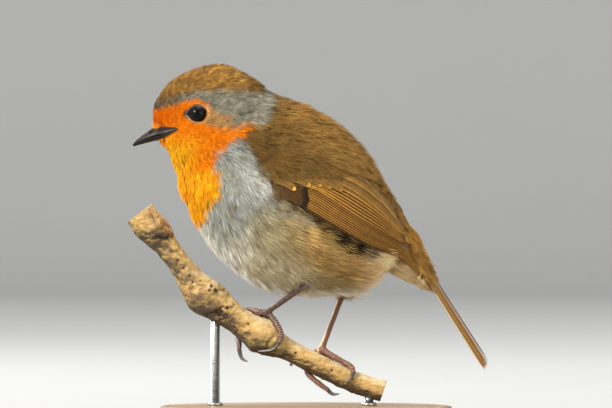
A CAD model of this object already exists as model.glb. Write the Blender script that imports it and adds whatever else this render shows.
import math

import bmesh
import bpy
import numpy as np
from mathutils import Matrix, Vector, noise
from mathutils.bvhtree import BVHTree


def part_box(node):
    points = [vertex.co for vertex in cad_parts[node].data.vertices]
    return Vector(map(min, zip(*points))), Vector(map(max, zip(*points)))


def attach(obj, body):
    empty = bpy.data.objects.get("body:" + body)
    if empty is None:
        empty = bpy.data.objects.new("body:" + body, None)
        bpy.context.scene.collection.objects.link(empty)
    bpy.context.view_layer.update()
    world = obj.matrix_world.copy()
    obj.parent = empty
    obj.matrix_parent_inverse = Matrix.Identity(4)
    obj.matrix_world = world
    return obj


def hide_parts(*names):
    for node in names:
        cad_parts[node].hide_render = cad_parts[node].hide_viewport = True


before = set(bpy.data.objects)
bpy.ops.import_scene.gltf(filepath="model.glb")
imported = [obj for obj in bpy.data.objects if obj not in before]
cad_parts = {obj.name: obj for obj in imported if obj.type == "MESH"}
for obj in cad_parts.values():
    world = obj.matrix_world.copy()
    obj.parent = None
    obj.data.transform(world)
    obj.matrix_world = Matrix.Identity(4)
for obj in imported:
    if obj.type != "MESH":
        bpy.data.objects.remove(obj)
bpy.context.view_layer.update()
MM = 0.001

# ---- Camera ---------------------------------------------------------------------------------
# A long lens, level with the bird's belly and square to its left side, so that the outline is
# nearly free of perspective.
FRAME_WIDTH = 191.25 * MM
VIEW_HEIGHT = 69.0 * MM
LENS_DISTANCE = 2.6
camera_data = bpy.data.cameras.new("camera")
camera_data.sensor_width = 36.0
camera_data.lens = 36.0 * LENS_DISTANCE / FRAME_WIDTH
camera_data.clip_end = 20.0
camera = bpy.data.objects.new("camera", camera_data)
camera.location = (0.0, -LENS_DISTANCE, VIEW_HEIGHT)
camera.rotation_euler = (math.radians(90.0), 0.0, 0.0)
bpy.context.scene.collection.objects.link(camera)
bpy.context.scene.camera = camera
bpy.context.scene.view_settings.view_transform = "Standard"

# ---- Perch ----------------------------------------------------------------------------------
# A cut length of a living branch, pale smooth bark over wood, swollen at three leaf joints with
# scars round them. Both ends are sawn square, and two rods of the stand carry it.
PERCH_LINE = np.array([  # x, z of the middle line and the radius, in mm
    (-51.9, 66.2, 4.7), (-48.8, 62.1, 4.9), (-46.2, 59.0, 4.6), (-43.6, 55.7, 3.6),
    (-39.4, 50.4, 3.6), (-35.6, 45.2, 4.3), (-31.9, 40.6, 5.8), (-28.8, 38.0, 5.2),
    (-26.2, 36.1, 4.75), (-21.2, 32.6, 4.3), (-17.5, 30.1, 4.6), (-13.8, 27.8, 5.3),
    (-10.6, 25.9, 4.7), (-6.9, 24.0, 3.5), (-1.9, 21.5, 3.3), (4.4, 18.4, 3.35),
    (10.6, 15.3, 3.3), (16.9, 12.7, 3.3), (24.1, 10.4, 3.3)])


def spline(points, along):
    """Points on the smooth curve through the given ones, at shares of the way from 0 to 1."""
    points = np.asarray(points, float)
    first = 2 * points[0] - points[1]
    last = 2 * points[-1] - points[-2]
    held = np.vstack([first, points, last])
    place = np.clip(np.asarray(along, float), 0, 1) * (len(points) - 1)
    start = np.minimum(place.astype(int), len(points) - 2)
    share = (place - start)[..., None]
    a, b, c, d = (held[start + k] for k in range(4))
    return 0.5 * (2 * b + (c - a) * share + (2 * a - 5 * b + 4 * c - d) * share ** 2
                  + (3 * b - a - 3 * c + d) * share ** 3)


def unit(vectors):
    """The same directions at length 1."""
    return vectors / np.maximum(np.linalg.norm(vectors, axis=-1, keepdims=True), 1e-9)


def perch_frame(along):
    """The branch's middle, upward normal and radius, in mm."""
    here = spline(PERCH_LINE, along)
    step = 0.002
    run = spline(PERCH_LINE, np.minimum(along + step, 1)) - spline(PERCH_LINE, np.maximum(along - step, 0))
    run = unit(run[..., :2])
    zero = np.zeros_like(here[..., 0])
    middle = np.stack([here[..., 0], zero, here[..., 1]], -1)
    upward = np.stack([-run[..., 1], zero, run[..., 0]], -1)
    return middle, upward, here[..., 2]


def mesh_piece(name, points, quads=(), triangles=(), smooth=True):
    """A mesh object from arrays, in metres."""
    quads = np.asarray(quads, int).reshape(-1, 4)
    triangles = np.asarray(triangles, int).reshape(-1, 3)
    mesh = bpy.data.meshes.new(name)
    mesh.vertices.add(len(points))
    mesh.vertices.foreach_set("co", np.asarray(points, np.float32).ravel())
    corners = np.concatenate([quads.ravel(), triangles.ravel()]).astype(np.int32)
    sizes = np.concatenate([np.full(len(quads), 4), np.full(len(triangles), 3)]).astype(np.int32)
    starts = np.concatenate([[0], np.cumsum(sizes)[:-1]]).astype(np.int32)
    mesh.loops.add(len(corners))
    mesh.loops.foreach_set("vertex_index", corners)
    mesh.polygons.add(len(sizes))
    mesh.polygons.foreach_set("loop_start", starts)
    mesh.polygons.foreach_set("loop_total", sizes)
    mesh.polygons.foreach_set("use_smooth", np.full(len(sizes), smooth))
    mesh.update(calc_edges=True)
    mesh.validate()
    piece = bpy.data.objects.new(name, mesh)
    bpy.context.scene.collection.objects.link(piece)
    return piece


def ring_quads(rings, sides):
    """Faces of a tube of rings, each of the same number of points."""
    ring, side = np.meshgrid(np.arange(rings - 1), np.arange(sides), indexing="ij")
    a = ring * sides + side
    b = ring * sides + (side + 1) % sides
    return np.stack([a, b, b + sides, a + sides], -1).reshape(-1, 4)


def end_fans(rings, sides):
    """Triangles that close a tube's two ends at two hub points listed after its rings."""
    hub = rings * sides
    around = np.arange(sides)
    ahead = (around + 1) % sides
    last = hub - sides
    return np.concatenate([np.stack([np.full(sides, hub), ahead, around], -1),
                           np.stack([np.full(sides, hub + 1), last + around, last + ahead], -1)])


def outward_faces(piece):
    """Turns every face of a closed piece outwards."""
    faces = bmesh.new()
    faces.from_mesh(piece.data)
    bmesh.ops.recalc_face_normals(faces, faces=faces.faces)
    faces.to_mesh(piece.data)
    faces.free()


def roughen(points, scale, octaves=4):
    """Cloudy values from about -1 to 1 at points in mm."""
    return np.array([noise.fractal(Vector(p * scale), 0.9, 2.1, octaves) for p in points])


def bump_at(distance_squared, size):
    return np.exp(-distance_squared / (2 * size * size))


PERCH_RINGS = 470
PERCH_SIDES = 104
# Swellings and pits of the bark: place along it (x), angle from the top towards the bird's left,
# spread and height, in mm and degrees.
BARK_KNOBS = [(-28.4, -8, 1.5, 0.9), (-45.6, -15, 1.5, 0.6), (-33.6, 165, 2.4, 0.5),
              (-14.2, 160, 2.2, 0.7), (-13.0, 25, 2.6, 0.35), (-7.2, 40, 0.7, 0.25),
              (-4.4, 36, 0.6, -0.3), (-50.0, 150, 1.6, 0.6), (17.5, 20, 1.0, 0.18), (-20.0, 60, 1.2, 0.2),
              (-24.6, 20, 1.0, 0.3), (-47.4, 70, 1.2, 0.45), (-44.9, 75, 0.8, -0.7),
              (-43.6, 60, 0.7, -0.3), (-26.0, 118, 0.9, -0.6), (-24.3, 100, 0.6, -0.45),
              (-28.6, 112, 1.3, 0.5), (-22.6, 128, 1.8, -0.5), (-12.2, 150, 0.9, -0.5)]
# Scars left round the joints: place, lean along the branch, depth, sharpness, and the middle and
# spread of the part of the branch's round that they show on.
BARK_SCARS = [(-26.2, 2.4, 0.55, 0.30, 125, 50), (-46.0, 1.7, 0.60, 0.36, 75, 55),
              (-11.2, 1.0, 0.35, 0.35, 140, 45), (-30.4, 1.2, 0.22, 0.25, 20, 40),
              (-23.6, 2.0, 0.40, 0.28, 135, 35), (-47.6, 1.2, 0.2, 0.3, 20, 60)]
# Small dark pores, by their place on the bird's left side (x, z) and size, in mm.
BARK_PORES = [(-40.0, 51.5, 0.22), (-36.3, 46.5, 0.24), (-35.3, 44.6, 0.22), (-29.4, 43.4, 0.28),
              (-28.1, 42.1, 0.34), (-30.0, 42.1, 0.26), (-38.2, 49.0, 0.16), (-33.0, 45.0, 0.15),
              (-26.4, 35.2, 0.35), (-24.6, 36.6, 0.24), (-27.2, 34.0, 0.30), (-18.0, 31.5, 0.18),
              (-3.2, 22.4, 0.2), (8.0, 17.0, 0.2), (14.5, 14.4, 0.16)]
# Brown stains on the bark: place along it, angle, spread both ways in mm and degrees, strength.
BARK_STAINS = [(-42.0, 92, 3.2, 26, 0.9), (-37.0, 96, 3.0, 24, 1.0), (-33.0, 104, 3.0, 22, 0.8),
               (-23.5, 138, 4.0, 34, 1.3), (-46.2, 80, 1.1, 22, 1.0), (-50.0, 60, 1.6, 20, 0.5),
               (-27.6, 132, 1.5, 30, 1.0), (-13.0, 165, 4.5, 30, 0.9), (-2.0, 150, 6.0, 28, 0.6),
               (10.0, 155, 7.0, 30, 0.7), (20.0, 150, 4.0, 30, 0.6), (-37.0, -100, 6.0, 30, 0.7),
               (-20.0, -110, 7.0, 30, 0.6), (4.0, -120, 9.0, 30, 0.5)]
ring_share = np.linspace(0, 1, PERCH_RINGS)
turn = np.linspace(0, 2 * np.pi, PERCH_SIDES, endpoint=False)
middle, upward, radius = perch_frame(ring_share)
spot_x = middle[:, None, 0] + 0 * turn
spot_turn = 0 * spot_x + turn
wall = np.repeat(radius[:, None], PERCH_SIDES, 1)
outward = (np.cos(turn)[None, :, None] * upward[:, None, :]
           + np.sin(turn)[None, :, None] * np.array([0, -1.0, 0]))
coarse = middle[:, None, :] + wall[..., None] * outward
lumps = roughen(coarse.reshape(-1, 3), 0.22, 3).reshape(wall.shape)
stretch = coarse.reshape(-1, 3) @ np.diag([0.35, 1.0, 0.45])
wrinkles = roughen(stretch, 1.3, 4).reshape(wall.shape)
pitting = roughen(coarse.reshape(-1, 3), 2.6, 3).reshape(wall.shape)


def turn_gap(angles, degrees):
    """How far round a circle from an angle, in radians from -pi to pi."""
    return np.angle(np.exp(1j * (angles - math.radians(degrees))))


for place, angle, spread, height in BARK_KNOBS:
    round_it = turn_gap(spot_turn, angle) * radius[:, None]
    wall = wall + height * bump_at((spot_x - place) ** 2 + round_it ** 2, spread)
scar_depth = np.zeros_like(wall)
for place, lean, depth, sharp, angle, spread in BARK_SCARS:
    wander = 0.35 * np.sin(3 * spot_turn + place) + 0.2 * np.sin(7 * spot_turn) + 0.9 * wrinkles
    strength = bump_at(turn_gap(spot_turn, angle) ** 2, math.radians(spread))
    strength *= np.clip(0.75 + 1.6 * pitting, 0, 1.3)
    scar_depth += depth * strength * bump_at((spot_x - place - lean * np.cos(spot_turn) - wander) ** 2, sharp)
for x, z, size in BARK_PORES:
    near = (coarse[..., 0] - x) ** 2 + (coarse[..., 2] - z) ** 2
    scar_depth += np.where(coarse[..., 1] < 0, 0.5 * bump_at(near, size), 0)
stain = np.zeros_like(wall)
for place, angle, spread, wide, strength in BARK_STAINS:
    along = bump_at((spot_x - place) ** 2, spread)
    stain += strength * along * bump_at(turn_gap(spot_turn, angle) ** 2, math.radians(wide))
stain = np.clip(stain * (0.75 + 1.3 * wrinkles + 0.8 * lumps), 0, 1)
wall = wall + 0.26 * lumps + 0.13 * wrinkles + 0.055 * pitting - scar_depth
bark_points = middle[:, None, :] + wall[..., None] * outward
sawn = []
for end in (0, -1):
    hub = bark_points[end].mean(0)
    for share in (0.96, 0.75, 0.5, 0.25, 0.06):
        sawn.append(hub + (bark_points[end] - hub) * share)
rings = np.concatenate([np.array(sawn[4::-1]), bark_points, np.array(sawn[5:])])
perch = mesh_piece("perch_bark", rings.reshape(-1, 3) * MM, ring_quads(len(rings), PERCH_SIDES))
ends = bmesh.new()
ends.from_mesh(perch.data)
ends.verts.ensure_lookup_table()
for first in (0, (len(rings) - 1) * PERCH_SIDES):
    loop = [ends.verts[first + k] for k in range(PERCH_SIDES)]
    ends.faces.new(loop if first else loop[::-1])
ends.to_mesh(perch.data)
ends.free()
outward_faces(perch)
for label, values in (("Scar", scar_depth), ("Stain", stain)):
    marks = perch.data.attributes.new(label, "FLOAT", "POINT")
    padded = np.concatenate([np.zeros((5, PERCH_SIDES)), values, np.zeros((5, PERCH_SIDES))])
    marks.data.foreach_set("value", padded.ravel().astype(np.float32))
for face in perch.data.polygons:
    face.material_index = int(len(face.vertices) > 4 or face.index < 5 * PERCH_SIDES
                              or face.index >= (PERCH_RINGS + 4) * PERCH_SIDES)


def add(tree, kind, links=None, **settings):
    """A shader node with its settings and inputs: a socket is linked, a value is set."""
    made = tree.nodes.new("ShaderNode" + kind)
    for key, value in settings.items():
        setattr(made, key, value)
    for key, value in (links or {}).items():
        socket = made.inputs[key]
        if isinstance(value, bpy.types.NodeSocket):
            tree.links.new(value, socket)
        else:
            socket.default_value = value
    return made


def ramp(tree, factor, stops, ease="EASE"):
    """A colour ramp's colour from (place, (r, g, b)) stops."""
    made = add(tree, "ValToRGB", {"Fac": factor})
    made.color_ramp.interpolation = ease
    while len(made.color_ramp.elements) < len(stops):
        made.color_ramp.elements.new(0.5)
    for element, (place, colour) in zip(made.color_ramp.elements, stops):
        element.position = place
        element.color = (*colour, 1.0)
    return made.outputs["Color"]


def grey_stops(*pairs):
    return [(place, (value, value, value)) for place, value in pairs]


def times(tree, a, b, clamp=False):
    return add(tree, "Math", {0: a, 1: b}, operation="MULTIPLY", use_clamp=clamp).outputs[0]


def plus(tree, a, b):
    return add(tree, "Math", {0: a, 1: b}, operation="ADD").outputs[0]


def minus(tree, a, b):
    return add(tree, "Math", {0: a, 1: b}, operation="SUBTRACT").outputs[0]


def mix(tree, factor, a, b, blend="MIX"):
    """Colour a turned towards colour b."""
    made = add(tree, "Mix", data_type="RGBA", blend_type=blend)
    for socket, value in ((made.inputs[0], factor), (made.inputs[6], a), (made.inputs[7], b)):
        if isinstance(value, bpy.types.NodeSocket):
            tree.links.new(value, socket)
        elif isinstance(value, tuple):
            socket.default_value = (*value, 1.0)
        else:
            socket.default_value = value
    return made.outputs[2]


def new_group(name, inputs, outputs):
    """An empty shader node group with its sockets; returns the tree, its inputs and its outputs."""
    tree = bpy.data.node_groups.new(name, "ShaderNodeTree")
    for label, kind, value in inputs:
        socket = tree.interface.new_socket(name=label, in_out="INPUT", socket_type="NodeSocket" + kind)
        socket.default_value = value
    for label, kind in outputs:
        tree.interface.new_socket(name=label, in_out="OUTPUT", socket_type="NodeSocket" + kind)
    return tree, tree.nodes.new("NodeGroupInput").outputs, tree.nodes.new("NodeGroupOutput").inputs


# Mottling: cloudy light and dark patches with fine grain, for bark, wood, skin and plumage.
mottle, given, made = new_group(
    "Mottle",
    [("Colour", "Color", (0.5, 0.5, 0.5, 1)), ("Patch Scale", "Float", 60.0), ("Grain Scale", "Float", 900.0),
     ("Amount", "Float", 0.3), ("Vector", "Vector", (0, 0, 0))],
    [("Colour", "Color"), ("Height", "Float")])
patch = add(mottle, "TexNoise", {"Vector": given["Vector"], "Scale": given["Patch Scale"], "Detail": 4.0})
grain = add(mottle, "TexNoise", {"Vector": given["Vector"], "Scale": given["Grain Scale"], "Detail": 6.0,
                                 "Roughness": 0.65})
both = plus(mottle, times(mottle, patch.outputs[0], 0.55), times(mottle, grain.outputs[0], 0.45))
swing = times(mottle, minus(mottle, both, 0.5), given["Amount"])
shade = plus(mottle, times(mottle, swing, 2.4), 1.0)
scaled = add(mottle, "VectorMath", {0: given["Colour"], "Scale": shade}, operation="SCALE")
mottle.links.new(scaled.outputs[0], made["Colour"])
mottle.links.new(both, made["Height"])


def new_material(name):
    """A material with its tree, its Principled shader and object coordinates."""
    material = bpy.data.materials.new(name)
    material.use_nodes = True
    tree = material.node_tree
    shader = tree.nodes["Principled BSDF"]
    place = add(tree, "TexCoord").outputs["Object"]
    return material, tree, shader, place


def set_colour(tree, shader, colour, place, patch_scale, grain_scale, amount):
    """A mottled colour into the shader's Base Color; returns the grain's height."""
    group = tree.nodes.new("ShaderNodeGroup")
    group.node_tree = mottle
    values = (colour, patch_scale, grain_scale, amount, place)
    for socket, value in zip(group.inputs, values):
        if isinstance(value, bpy.types.NodeSocket):
            tree.links.new(value, socket)
        else:
            socket.default_value = (*value, 1.0) if isinstance(value, tuple) else value
    tree.links.new(group.outputs["Colour"], shader.inputs["Base Color"])
    return group.outputs["Height"]


def set_bump(tree, shader, height, strength, distance):
    """Height into the shader's Normal."""
    made = add(tree, "Bump", {"Height": height, "Strength": strength, "Distance": distance})
    tree.links.new(made.outputs["Normal"], shader.inputs["Normal"])


def set_roughness(tree, shader, factor, low, high):
    """A mask into the shader's Roughness, between two stops of place and roughness."""
    tree.links.new(ramp(tree, factor, grey_stops(low, high)), shader.inputs["Roughness"])


BARK_CREAM = (0.73, 0.585, 0.335)
BARK_GOLD = (0.62, 0.385, 0.130)
BARK_TAN = (0.43, 0.26, 0.080)
BARK_OLIVE = (0.13, 0.095, 0.032)
BARK_BROWN = (0.075, 0.042, 0.022)
BARK_UNDER = (0.060, 0.036, 0.013)
BARK_DARK = (0.014, 0.010, 0.006)
bark, tree, shader, place = new_material("bark")
facing = add(tree, "SeparateXYZ", {0: add(tree, "NewGeometry").outputs["Normal"]}).outputs["Z"]
streak_place = add(tree, "Mapping", {"Vector": place, "Rotation": (0, math.radians(32), 0),
                                     "Scale": (0.3, 1, 1)})
streaks = add(tree, "TexNoise", {"Vector": streak_place.outputs[0], "Scale": 620.0, "Detail": 7.0,
                                 "Roughness": 0.68})
blotches = add(tree, "TexNoise", {"Vector": place, "Scale": 210.0, "Detail": 6.0, "Roughness": 0.66})
stipple = add(tree, "TexNoise", {"Vector": place, "Scale": 1500.0, "Detail": 4.0, "Roughness": 0.7})
upright = plus(tree, times(tree, facing, 0.5), 0.5)
weathered = ramp(tree, upright, grey_stops((0.0, 0.0), (0.30, 0.08), (0.55, 0.22), (0.84, 0.30), (1.0, 0.42)))
tone = plus(tree, times(tree, streaks.outputs[0], 0.50), times(tree, blotches.outputs[0], 0.62))
tone = plus(tree, weathered, tone)
tone = plus(tree, tone, times(tree, stipple.outputs[0], 0.20))
colour = ramp(tree, tone, [(0.68, BARK_OLIVE), (0.82, BARK_TAN), (0.96, BARK_GOLD), (1.0, BARK_GOLD)])
cream_mask = ramp(tree, minus(tree, tone, 0.4), grey_stops((0.55, 0.0), (0.70, 1.0)))
colour = mix(tree, cream_mask, colour, BARK_CREAM)
wander = times(tree, minus(tree, streaks.outputs[0], 0.5), 0.9)
ragged = plus(tree, upright, wander)
colour = mix(tree, ramp(tree, ragged, grey_stops((0.74, 0.0), (0.92, 0.75))), colour, BARK_CREAM)
colour = mix(tree, ramp(tree, ragged, grey_stops((0.18, 0.9), (0.36, 0.0))), colour, BARK_UNDER)
stain_mask = add(tree, "Attribute", attribute_name="Stain").outputs["Fac"]
stain_mask = times(tree, stain_mask, ramp(tree, streaks.outputs[0], grey_stops((0.3, 1.0), (0.7, 0.55))))
colour = mix(tree, times(tree, stain_mask, 0.9, True), colour, BARK_BROWN)
dots = add(tree, "TexVoronoi", {"Vector": place, "Scale": 330.0, "Randomness": 1.0})
dot_mask = ramp(tree, dots.outputs["Distance"], grey_stops((0.08, 1.0), (0.15, 0.0)))
sparse = add(tree, "TexNoise", {"Vector": place, "Scale": 90.0, "Detail": 2.0})
dot_mask = times(tree, dot_mask, ramp(tree, sparse.outputs[0], grey_stops((0.48, 0.0), (0.58, 1.0))))
colour = mix(tree, times(tree, dot_mask, 0.7), colour, BARK_DARK)
lichen = add(tree, "TexNoise", {"Vector": place, "Scale": 120.0, "Detail": 8.0, "Roughness": 0.72})
lichen_mask = ramp(tree, lichen.outputs[0], grey_stops((0.56, 0.0), (0.66, 0.45)))
colour = mix(tree, lichen_mask, colour, (0.33, 0.27, 0.075))
scar = add(tree, "Attribute", attribute_name="Scar").outputs["Fac"]
colour = mix(tree, ramp(tree, scar, grey_stops((0.01, 0.0), (0.12, 0.7))), colour, BARK_BROWN)
scar_mask = ramp(tree, scar, grey_stops((0.14, 0.0), (0.42, 0.95)))
colour = mix(tree, scar_mask, colour, BARK_DARK)
grain_height = set_colour(tree, shader, colour, place, 500.0, 3200.0, 0.5)
set_roughness(tree, shader, streaks.outputs[0], (0.3, 0.58), (0.7, 0.86))
height = plus(tree, streaks.outputs[0], times(tree, stipple.outputs[0], 0.9))
height = minus(tree, height, times(tree, dot_mask, 0.6))
set_bump(tree, shader, height, 0.85, 0.0004)

sawn_wood, tree, shader, place = new_material("sawn_wood")
growth = add(tree, "TexNoise", {"Vector": place, "Scale": 300.0, "Detail": 4.0})
colour = ramp(tree, growth.outputs[0], [(0.3, (0.24, 0.15, 0.07)), (0.7, (0.42, 0.29, 0.15))])
grain_height = set_colour(tree, shader, colour, place, 400.0, 3000.0, 0.4)
set_roughness(tree, shader, grain_height, (0.3, 0.7), (0.7, 0.9))
set_bump(tree, shader, grain_height, 0.5, 0.0002)
perch.data.materials.append(bark)
perch.data.materials.append(sawn_wood)
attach(perch, "root")
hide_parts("perch")

# ---- Stand ----------------------------------------------------------------------------------
# A turned disc of light brown wood with a rounded rim, and two steel rods pinned into it that
# carry the branch. Each rod has a thin collar where it enters the wood.
base_low, base_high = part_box("stand_base")
BASE_RADIUS = (base_high.x - base_low.x) / 2
BASE_HEIGHT = base_high.z
RIM_ROUND = 1.6 * MM
rim = [(0.0, 0.0), (BASE_RADIUS * 0.6, 0.0), (BASE_RADIUS - RIM_ROUND, 0.0)]
for corner, start in ((RIM_ROUND, -90), (BASE_HEIGHT - RIM_ROUND, 0)):
    for step in range(1, 9):
        angle = math.radians(start + 90 * step / 8)
        rim.append((BASE_RADIUS - RIM_ROUND + RIM_ROUND * math.cos(angle),
                    corner + RIM_ROUND * math.sin(angle)))
rim += [(BASE_RADIUS - 3.2 * MM, BASE_HEIGHT), (BASE_RADIUS - 3.5 * MM, BASE_HEIGHT - 0.22 * MM),
        (BASE_RADIUS - 3.8 * MM, BASE_HEIGHT), (BASE_RADIUS * 0.5, BASE_HEIGHT), (0.0, BASE_HEIGHT)]


def turned(name, profile, segments, centre=(0.0, 0.0)):
    """A solid of revolution about an upright axis, from (radius, height) points."""
    angles = np.linspace(0, 2 * np.pi, segments, endpoint=False)
    profile = np.array(profile)
    body = profile[1:-1]
    points = np.stack([centre[0] + body[:, :1] * np.cos(angles), centre[1] + body[:, :1] * np.sin(angles),
                       np.repeat(body[:, 1:], segments, 1)], -1).reshape(-1, 3)
    hubs = [(centre[0], centre[1], profile[0, 1]), (centre[0], centre[1], profile[-1, 1])]
    return mesh_piece(name, np.vstack([points, hubs]), ring_quads(len(body), segments),
                      end_fans(len(body), segments))


base = turned("stand_base_disc", rim, 160)
base_wood, tree, shader, place = new_material("base_wood")
plank = add(tree, "Mapping", {"Vector": place, "Scale": (0.12, 1.0, 1.0)})
year = add(tree, "TexNoise", {"Vector": plank.outputs[0], "Scale": 140.0, "Detail": 5.0, "Distortion": 0.6})
colour = ramp(tree, year.outputs[0], [(0.35, (0.22, 0.13, 0.06)), (0.52, (0.31, 0.20, 0.10)),
                                      (0.66, (0.37, 0.25, 0.13))])
grain_height = set_colour(tree, shader, colour, plank.outputs[0], 300.0, 2400.0, 0.22)
set_roughness(tree, shader, grain_height, (0.35, 0.38), (0.65, 0.52))
set_bump(tree, shader, grain_height, 0.25, 0.0001)
shader.inputs["Coat Weight"].default_value = 0.15
base.data.materials.append(base_wood)
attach(base, "root")
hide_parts("stand_base")

rod_steel, tree, shader, place = new_material("rod_steel")
brushed = add(tree, "Mapping", {"Vector": place, "Scale": (1.0, 1.0, 40.0)})
lines = add(tree, "TexNoise", {"Vector": brushed.outputs[0], "Scale": 300.0, "Detail": 3.0})
tree.links.new(ramp(tree, lines.outputs[0], [(0.3, (0.46, 0.46, 0.45)), (0.7, (0.60, 0.60, 0.59))]),
               shader.inputs["Base Color"])
set_roughness(tree, shader, lines.outputs[0], (0.3, 0.24), (0.7, 0.4))
set_bump(tree, shader, lines.outputs[0], 0.15, 0.00005)
shader.inputs["Metallic"].default_value = 1.0
for side in ("left", "right"):
    low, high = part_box(f"stand_rod_{side}")
    rod_radius = (high.x - low.x) / 2
    top = high.z - 0.1 * MM
    collar = min(1.0 * MM, (top - low.z) * 0.4)
    shape = [(0.0, low.z), (rod_radius * 1.7, low.z), (rod_radius * 1.7, low.z + collar * 0.7),
             (rod_radius * 1.5, low.z + collar), (rod_radius, low.z + collar), (rod_radius, top - 0.2 * MM),
             (rod_radius * 0.85, top), (0.0, top)]
    rod = turned(f"stand_rod_pin_{side}", shape, 40, ((low.x + high.x) / 2, 0.0))
    rod.data.materials.append(rod_steel)
    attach(rod, "root")
    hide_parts(f"stand_rod_{side}")

# ---- Skin -----------------------------------------------------------------------------------
# The bird's skin under its feathers, one sheet over head, neck, trunk, wings and thighs. It lies
# inside the outline of the plumage by the depth of the coat, and is thinnest over the face.

# The lie of the coat: where (x, z in mm, seen from the side), the way the feathers point (0 is
# towards the tail, 90 is up), the length of a feather and the depth of the coat, in mm.
COAT_PLACES = np.array([
    (-47.6, 95.5, 80, 1.5, 0.55), (-47.2, 99.5, 72, 1.8, 0.6), (-44.5, 105, 50, 2.3, 0.8),
    (-38, 110, 26, 2.9, 1.0), (-28, 113, 2, 3.6, 1.3), (-19, 110, -20, 4.4, 1.7), (-12, 105.5, -28, 5.4, 2.2),
    (-44, 96, 22, 1.6, 0.5), (-40.5, 99.5, 32, 2.0, 0.7), (-33, 103.5, 12, 2.6, 0.8), (-27, 99, -8, 2.8, 0.8),
    (-38.5, 94, -4, 2.2, 0.7), (-30, 92, -14, 3.0, 0.9), (-23, 94, -18, 3.6, 1.1), (-21, 101, -12, 4.0, 1.4),
    (-45.3, 89, -72, 1.8, 0.6), (-41, 89, -42, 2.4, 0.8), (-43, 84, -78, 3.0, 1.1), (-34, 84, -48, 3.8, 1.4),
    (-26, 88, -28, 4.2, 1.5), (-16, 92, -26, 5.4, 2.0), (-6, 99, -26, 6.4, 2.6), (4, 95, -34, 7.0, 2.8),
    (12, 90, -46, 7.2, 2.8), (20, 80, -58, 7.4, 2.6), (27, 70, -62, 7.6, 2.2), (34, 58, -60, 8.6, 1.7),
    (38.5, 50, -59, 9.5, 1.2), (-41, 77, -80, 4.6, 1.9), (-33, 76, -64, 5.0, 2.0), (-24, 81, -48, 5.4, 2.1),
    (-38, 68, -72, 5.6, 2.4), (-30, 68, -58, 6.0, 2.5), (-19, 74, -44, 6.4, 2.5), (-12, 79, -36, 6.8, 2.4),
    (-33, 58, -56, 6.6, 2.7), (-22, 59, -40, 7.0, 2.9), (-10, 64, -24, 7.4, 2.9), (-24, 49, -36, 7.0, 2.8),
    (-12, 49, -24, 7.6, 3.0), (0, 58, -14, 8.0, 3.0), (-6, 43, -12, 7.2, 2.6), (8, 50, -14, 8.2, 3.0),
    (4, 41.5, -8, 7.4, 2.4), (14, 44, -18, 8.0, 2.6), (16, 54, -24, 8.0, 2.6), (24, 50, -32, 7.6, 2.0),
    (31, 46.5, -38, 8.0, 1.6), (37, 42.5, -52, 9.0, 1.1), (-4, 82, -34, 6.0, 2.2), (8, 76, -38, 6.0, 2.0),
])


def coat_at(points):
    """The lie (unit x, z), feather length and coat depth, all in mm, at points in mm."""
    side = points[:, [0, 2]]
    gap = ((side[:, None, :] - COAT_PLACES[None, :, :2]) ** 2).sum(-1)
    weight = 1.0 / (gap + 4.0) ** 1.8
    weight /= weight.sum(1, keepdims=True)
    angle = np.radians(COAT_PLACES[:, 2])
    lie = weight @ np.stack([np.cos(angle), np.sin(angle)], -1)
    lie = unit(lie)
    return lie, weight @ COAT_PLACES[:, 3], weight @ COAT_PLACES[:, 4]


def face_tree(mesh):
    """A search tree over a mesh's faces."""
    return BVHTree.FromPolygons([v.co for v in mesh.vertices], [p.vertices for p in mesh.polygons])


FLESH = ["head", "neck", "trunk", "wing_left", "wing_right", "thigh_left", "thigh_right"]
SKIN_VOXEL = 0.8 * MM
SEAM = 0.35 * MM  # the parts are grown by this to close the cuts between them
flesh = bmesh.new()
outlines = bmesh.new()
for node in FLESH + ["eye_left", "eye_right"]:
    part = bmesh.new()
    part.from_mesh(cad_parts[node].data)
    bmesh.ops.triangulate(part, faces=part.faces)
    grown = bpy.data.meshes.new("grown")
    part.to_mesh(grown)
    outlines.from_mesh(grown)
    bmesh.ops.remove_doubles(part, verts=part.verts, dist=0.005 * MM)
    part.normal_update()
    for vertex in part.verts:
        vertex.co += vertex.normal * SEAM
    part.to_mesh(grown)
    flesh.from_mesh(grown)
    part.free()
outline_mesh = bpy.data.meshes.new("outline")
outlines.to_mesh(outline_mesh)
outlines.free()
outline_tree = face_tree(outline_mesh)
# The stump that the tail's quills are set in, between the tail coverts.
STUMP_MIDDLE = Vector((35.2, 0.0, 52.8)) * MM
STUMP_HALF = Vector((2.6, 7.4, 6.0)) * MM
stump = bmesh.ops.create_uvsphere(flesh, u_segments=24, v_segments=14, radius=1.0)["verts"]
for vertex in stump:
    leaned = Vector((vertex.co.x * STUMP_HALF.x, vertex.co.y * STUMP_HALF.y, vertex.co.z * STUMP_HALF.z))
    leaned.rotate(Matrix.Rotation(math.radians(-32), 4, "Y"))
    vertex.co = STUMP_MIDDLE + leaned
bmesh.ops.triangulate(flesh, faces=flesh.faces)
flesh_mesh = bpy.data.meshes.new("skin")
flesh.to_mesh(flesh_mesh)
flesh.free()
skin = bpy.data.objects.new("skin", flesh_mesh)
bpy.context.scene.collection.objects.link(skin)


def apply_modifier(piece, kind, **settings):
    """Adds a modifier and applies it at once."""
    modifier = piece.modifiers.new(kind.lower(), kind)
    for key, value in settings.items():
        setattr(modifier, key, value)
    bpy.context.view_layer.objects.active = piece
    bpy.ops.object.modifier_apply(modifier=modifier.name)


apply_modifier(skin, "REMESH", mode="VOXEL", voxel_size=SKIN_VOXEL)
apply_modifier(skin, "SMOOTH", factor=0.5, iterations=6)


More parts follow.
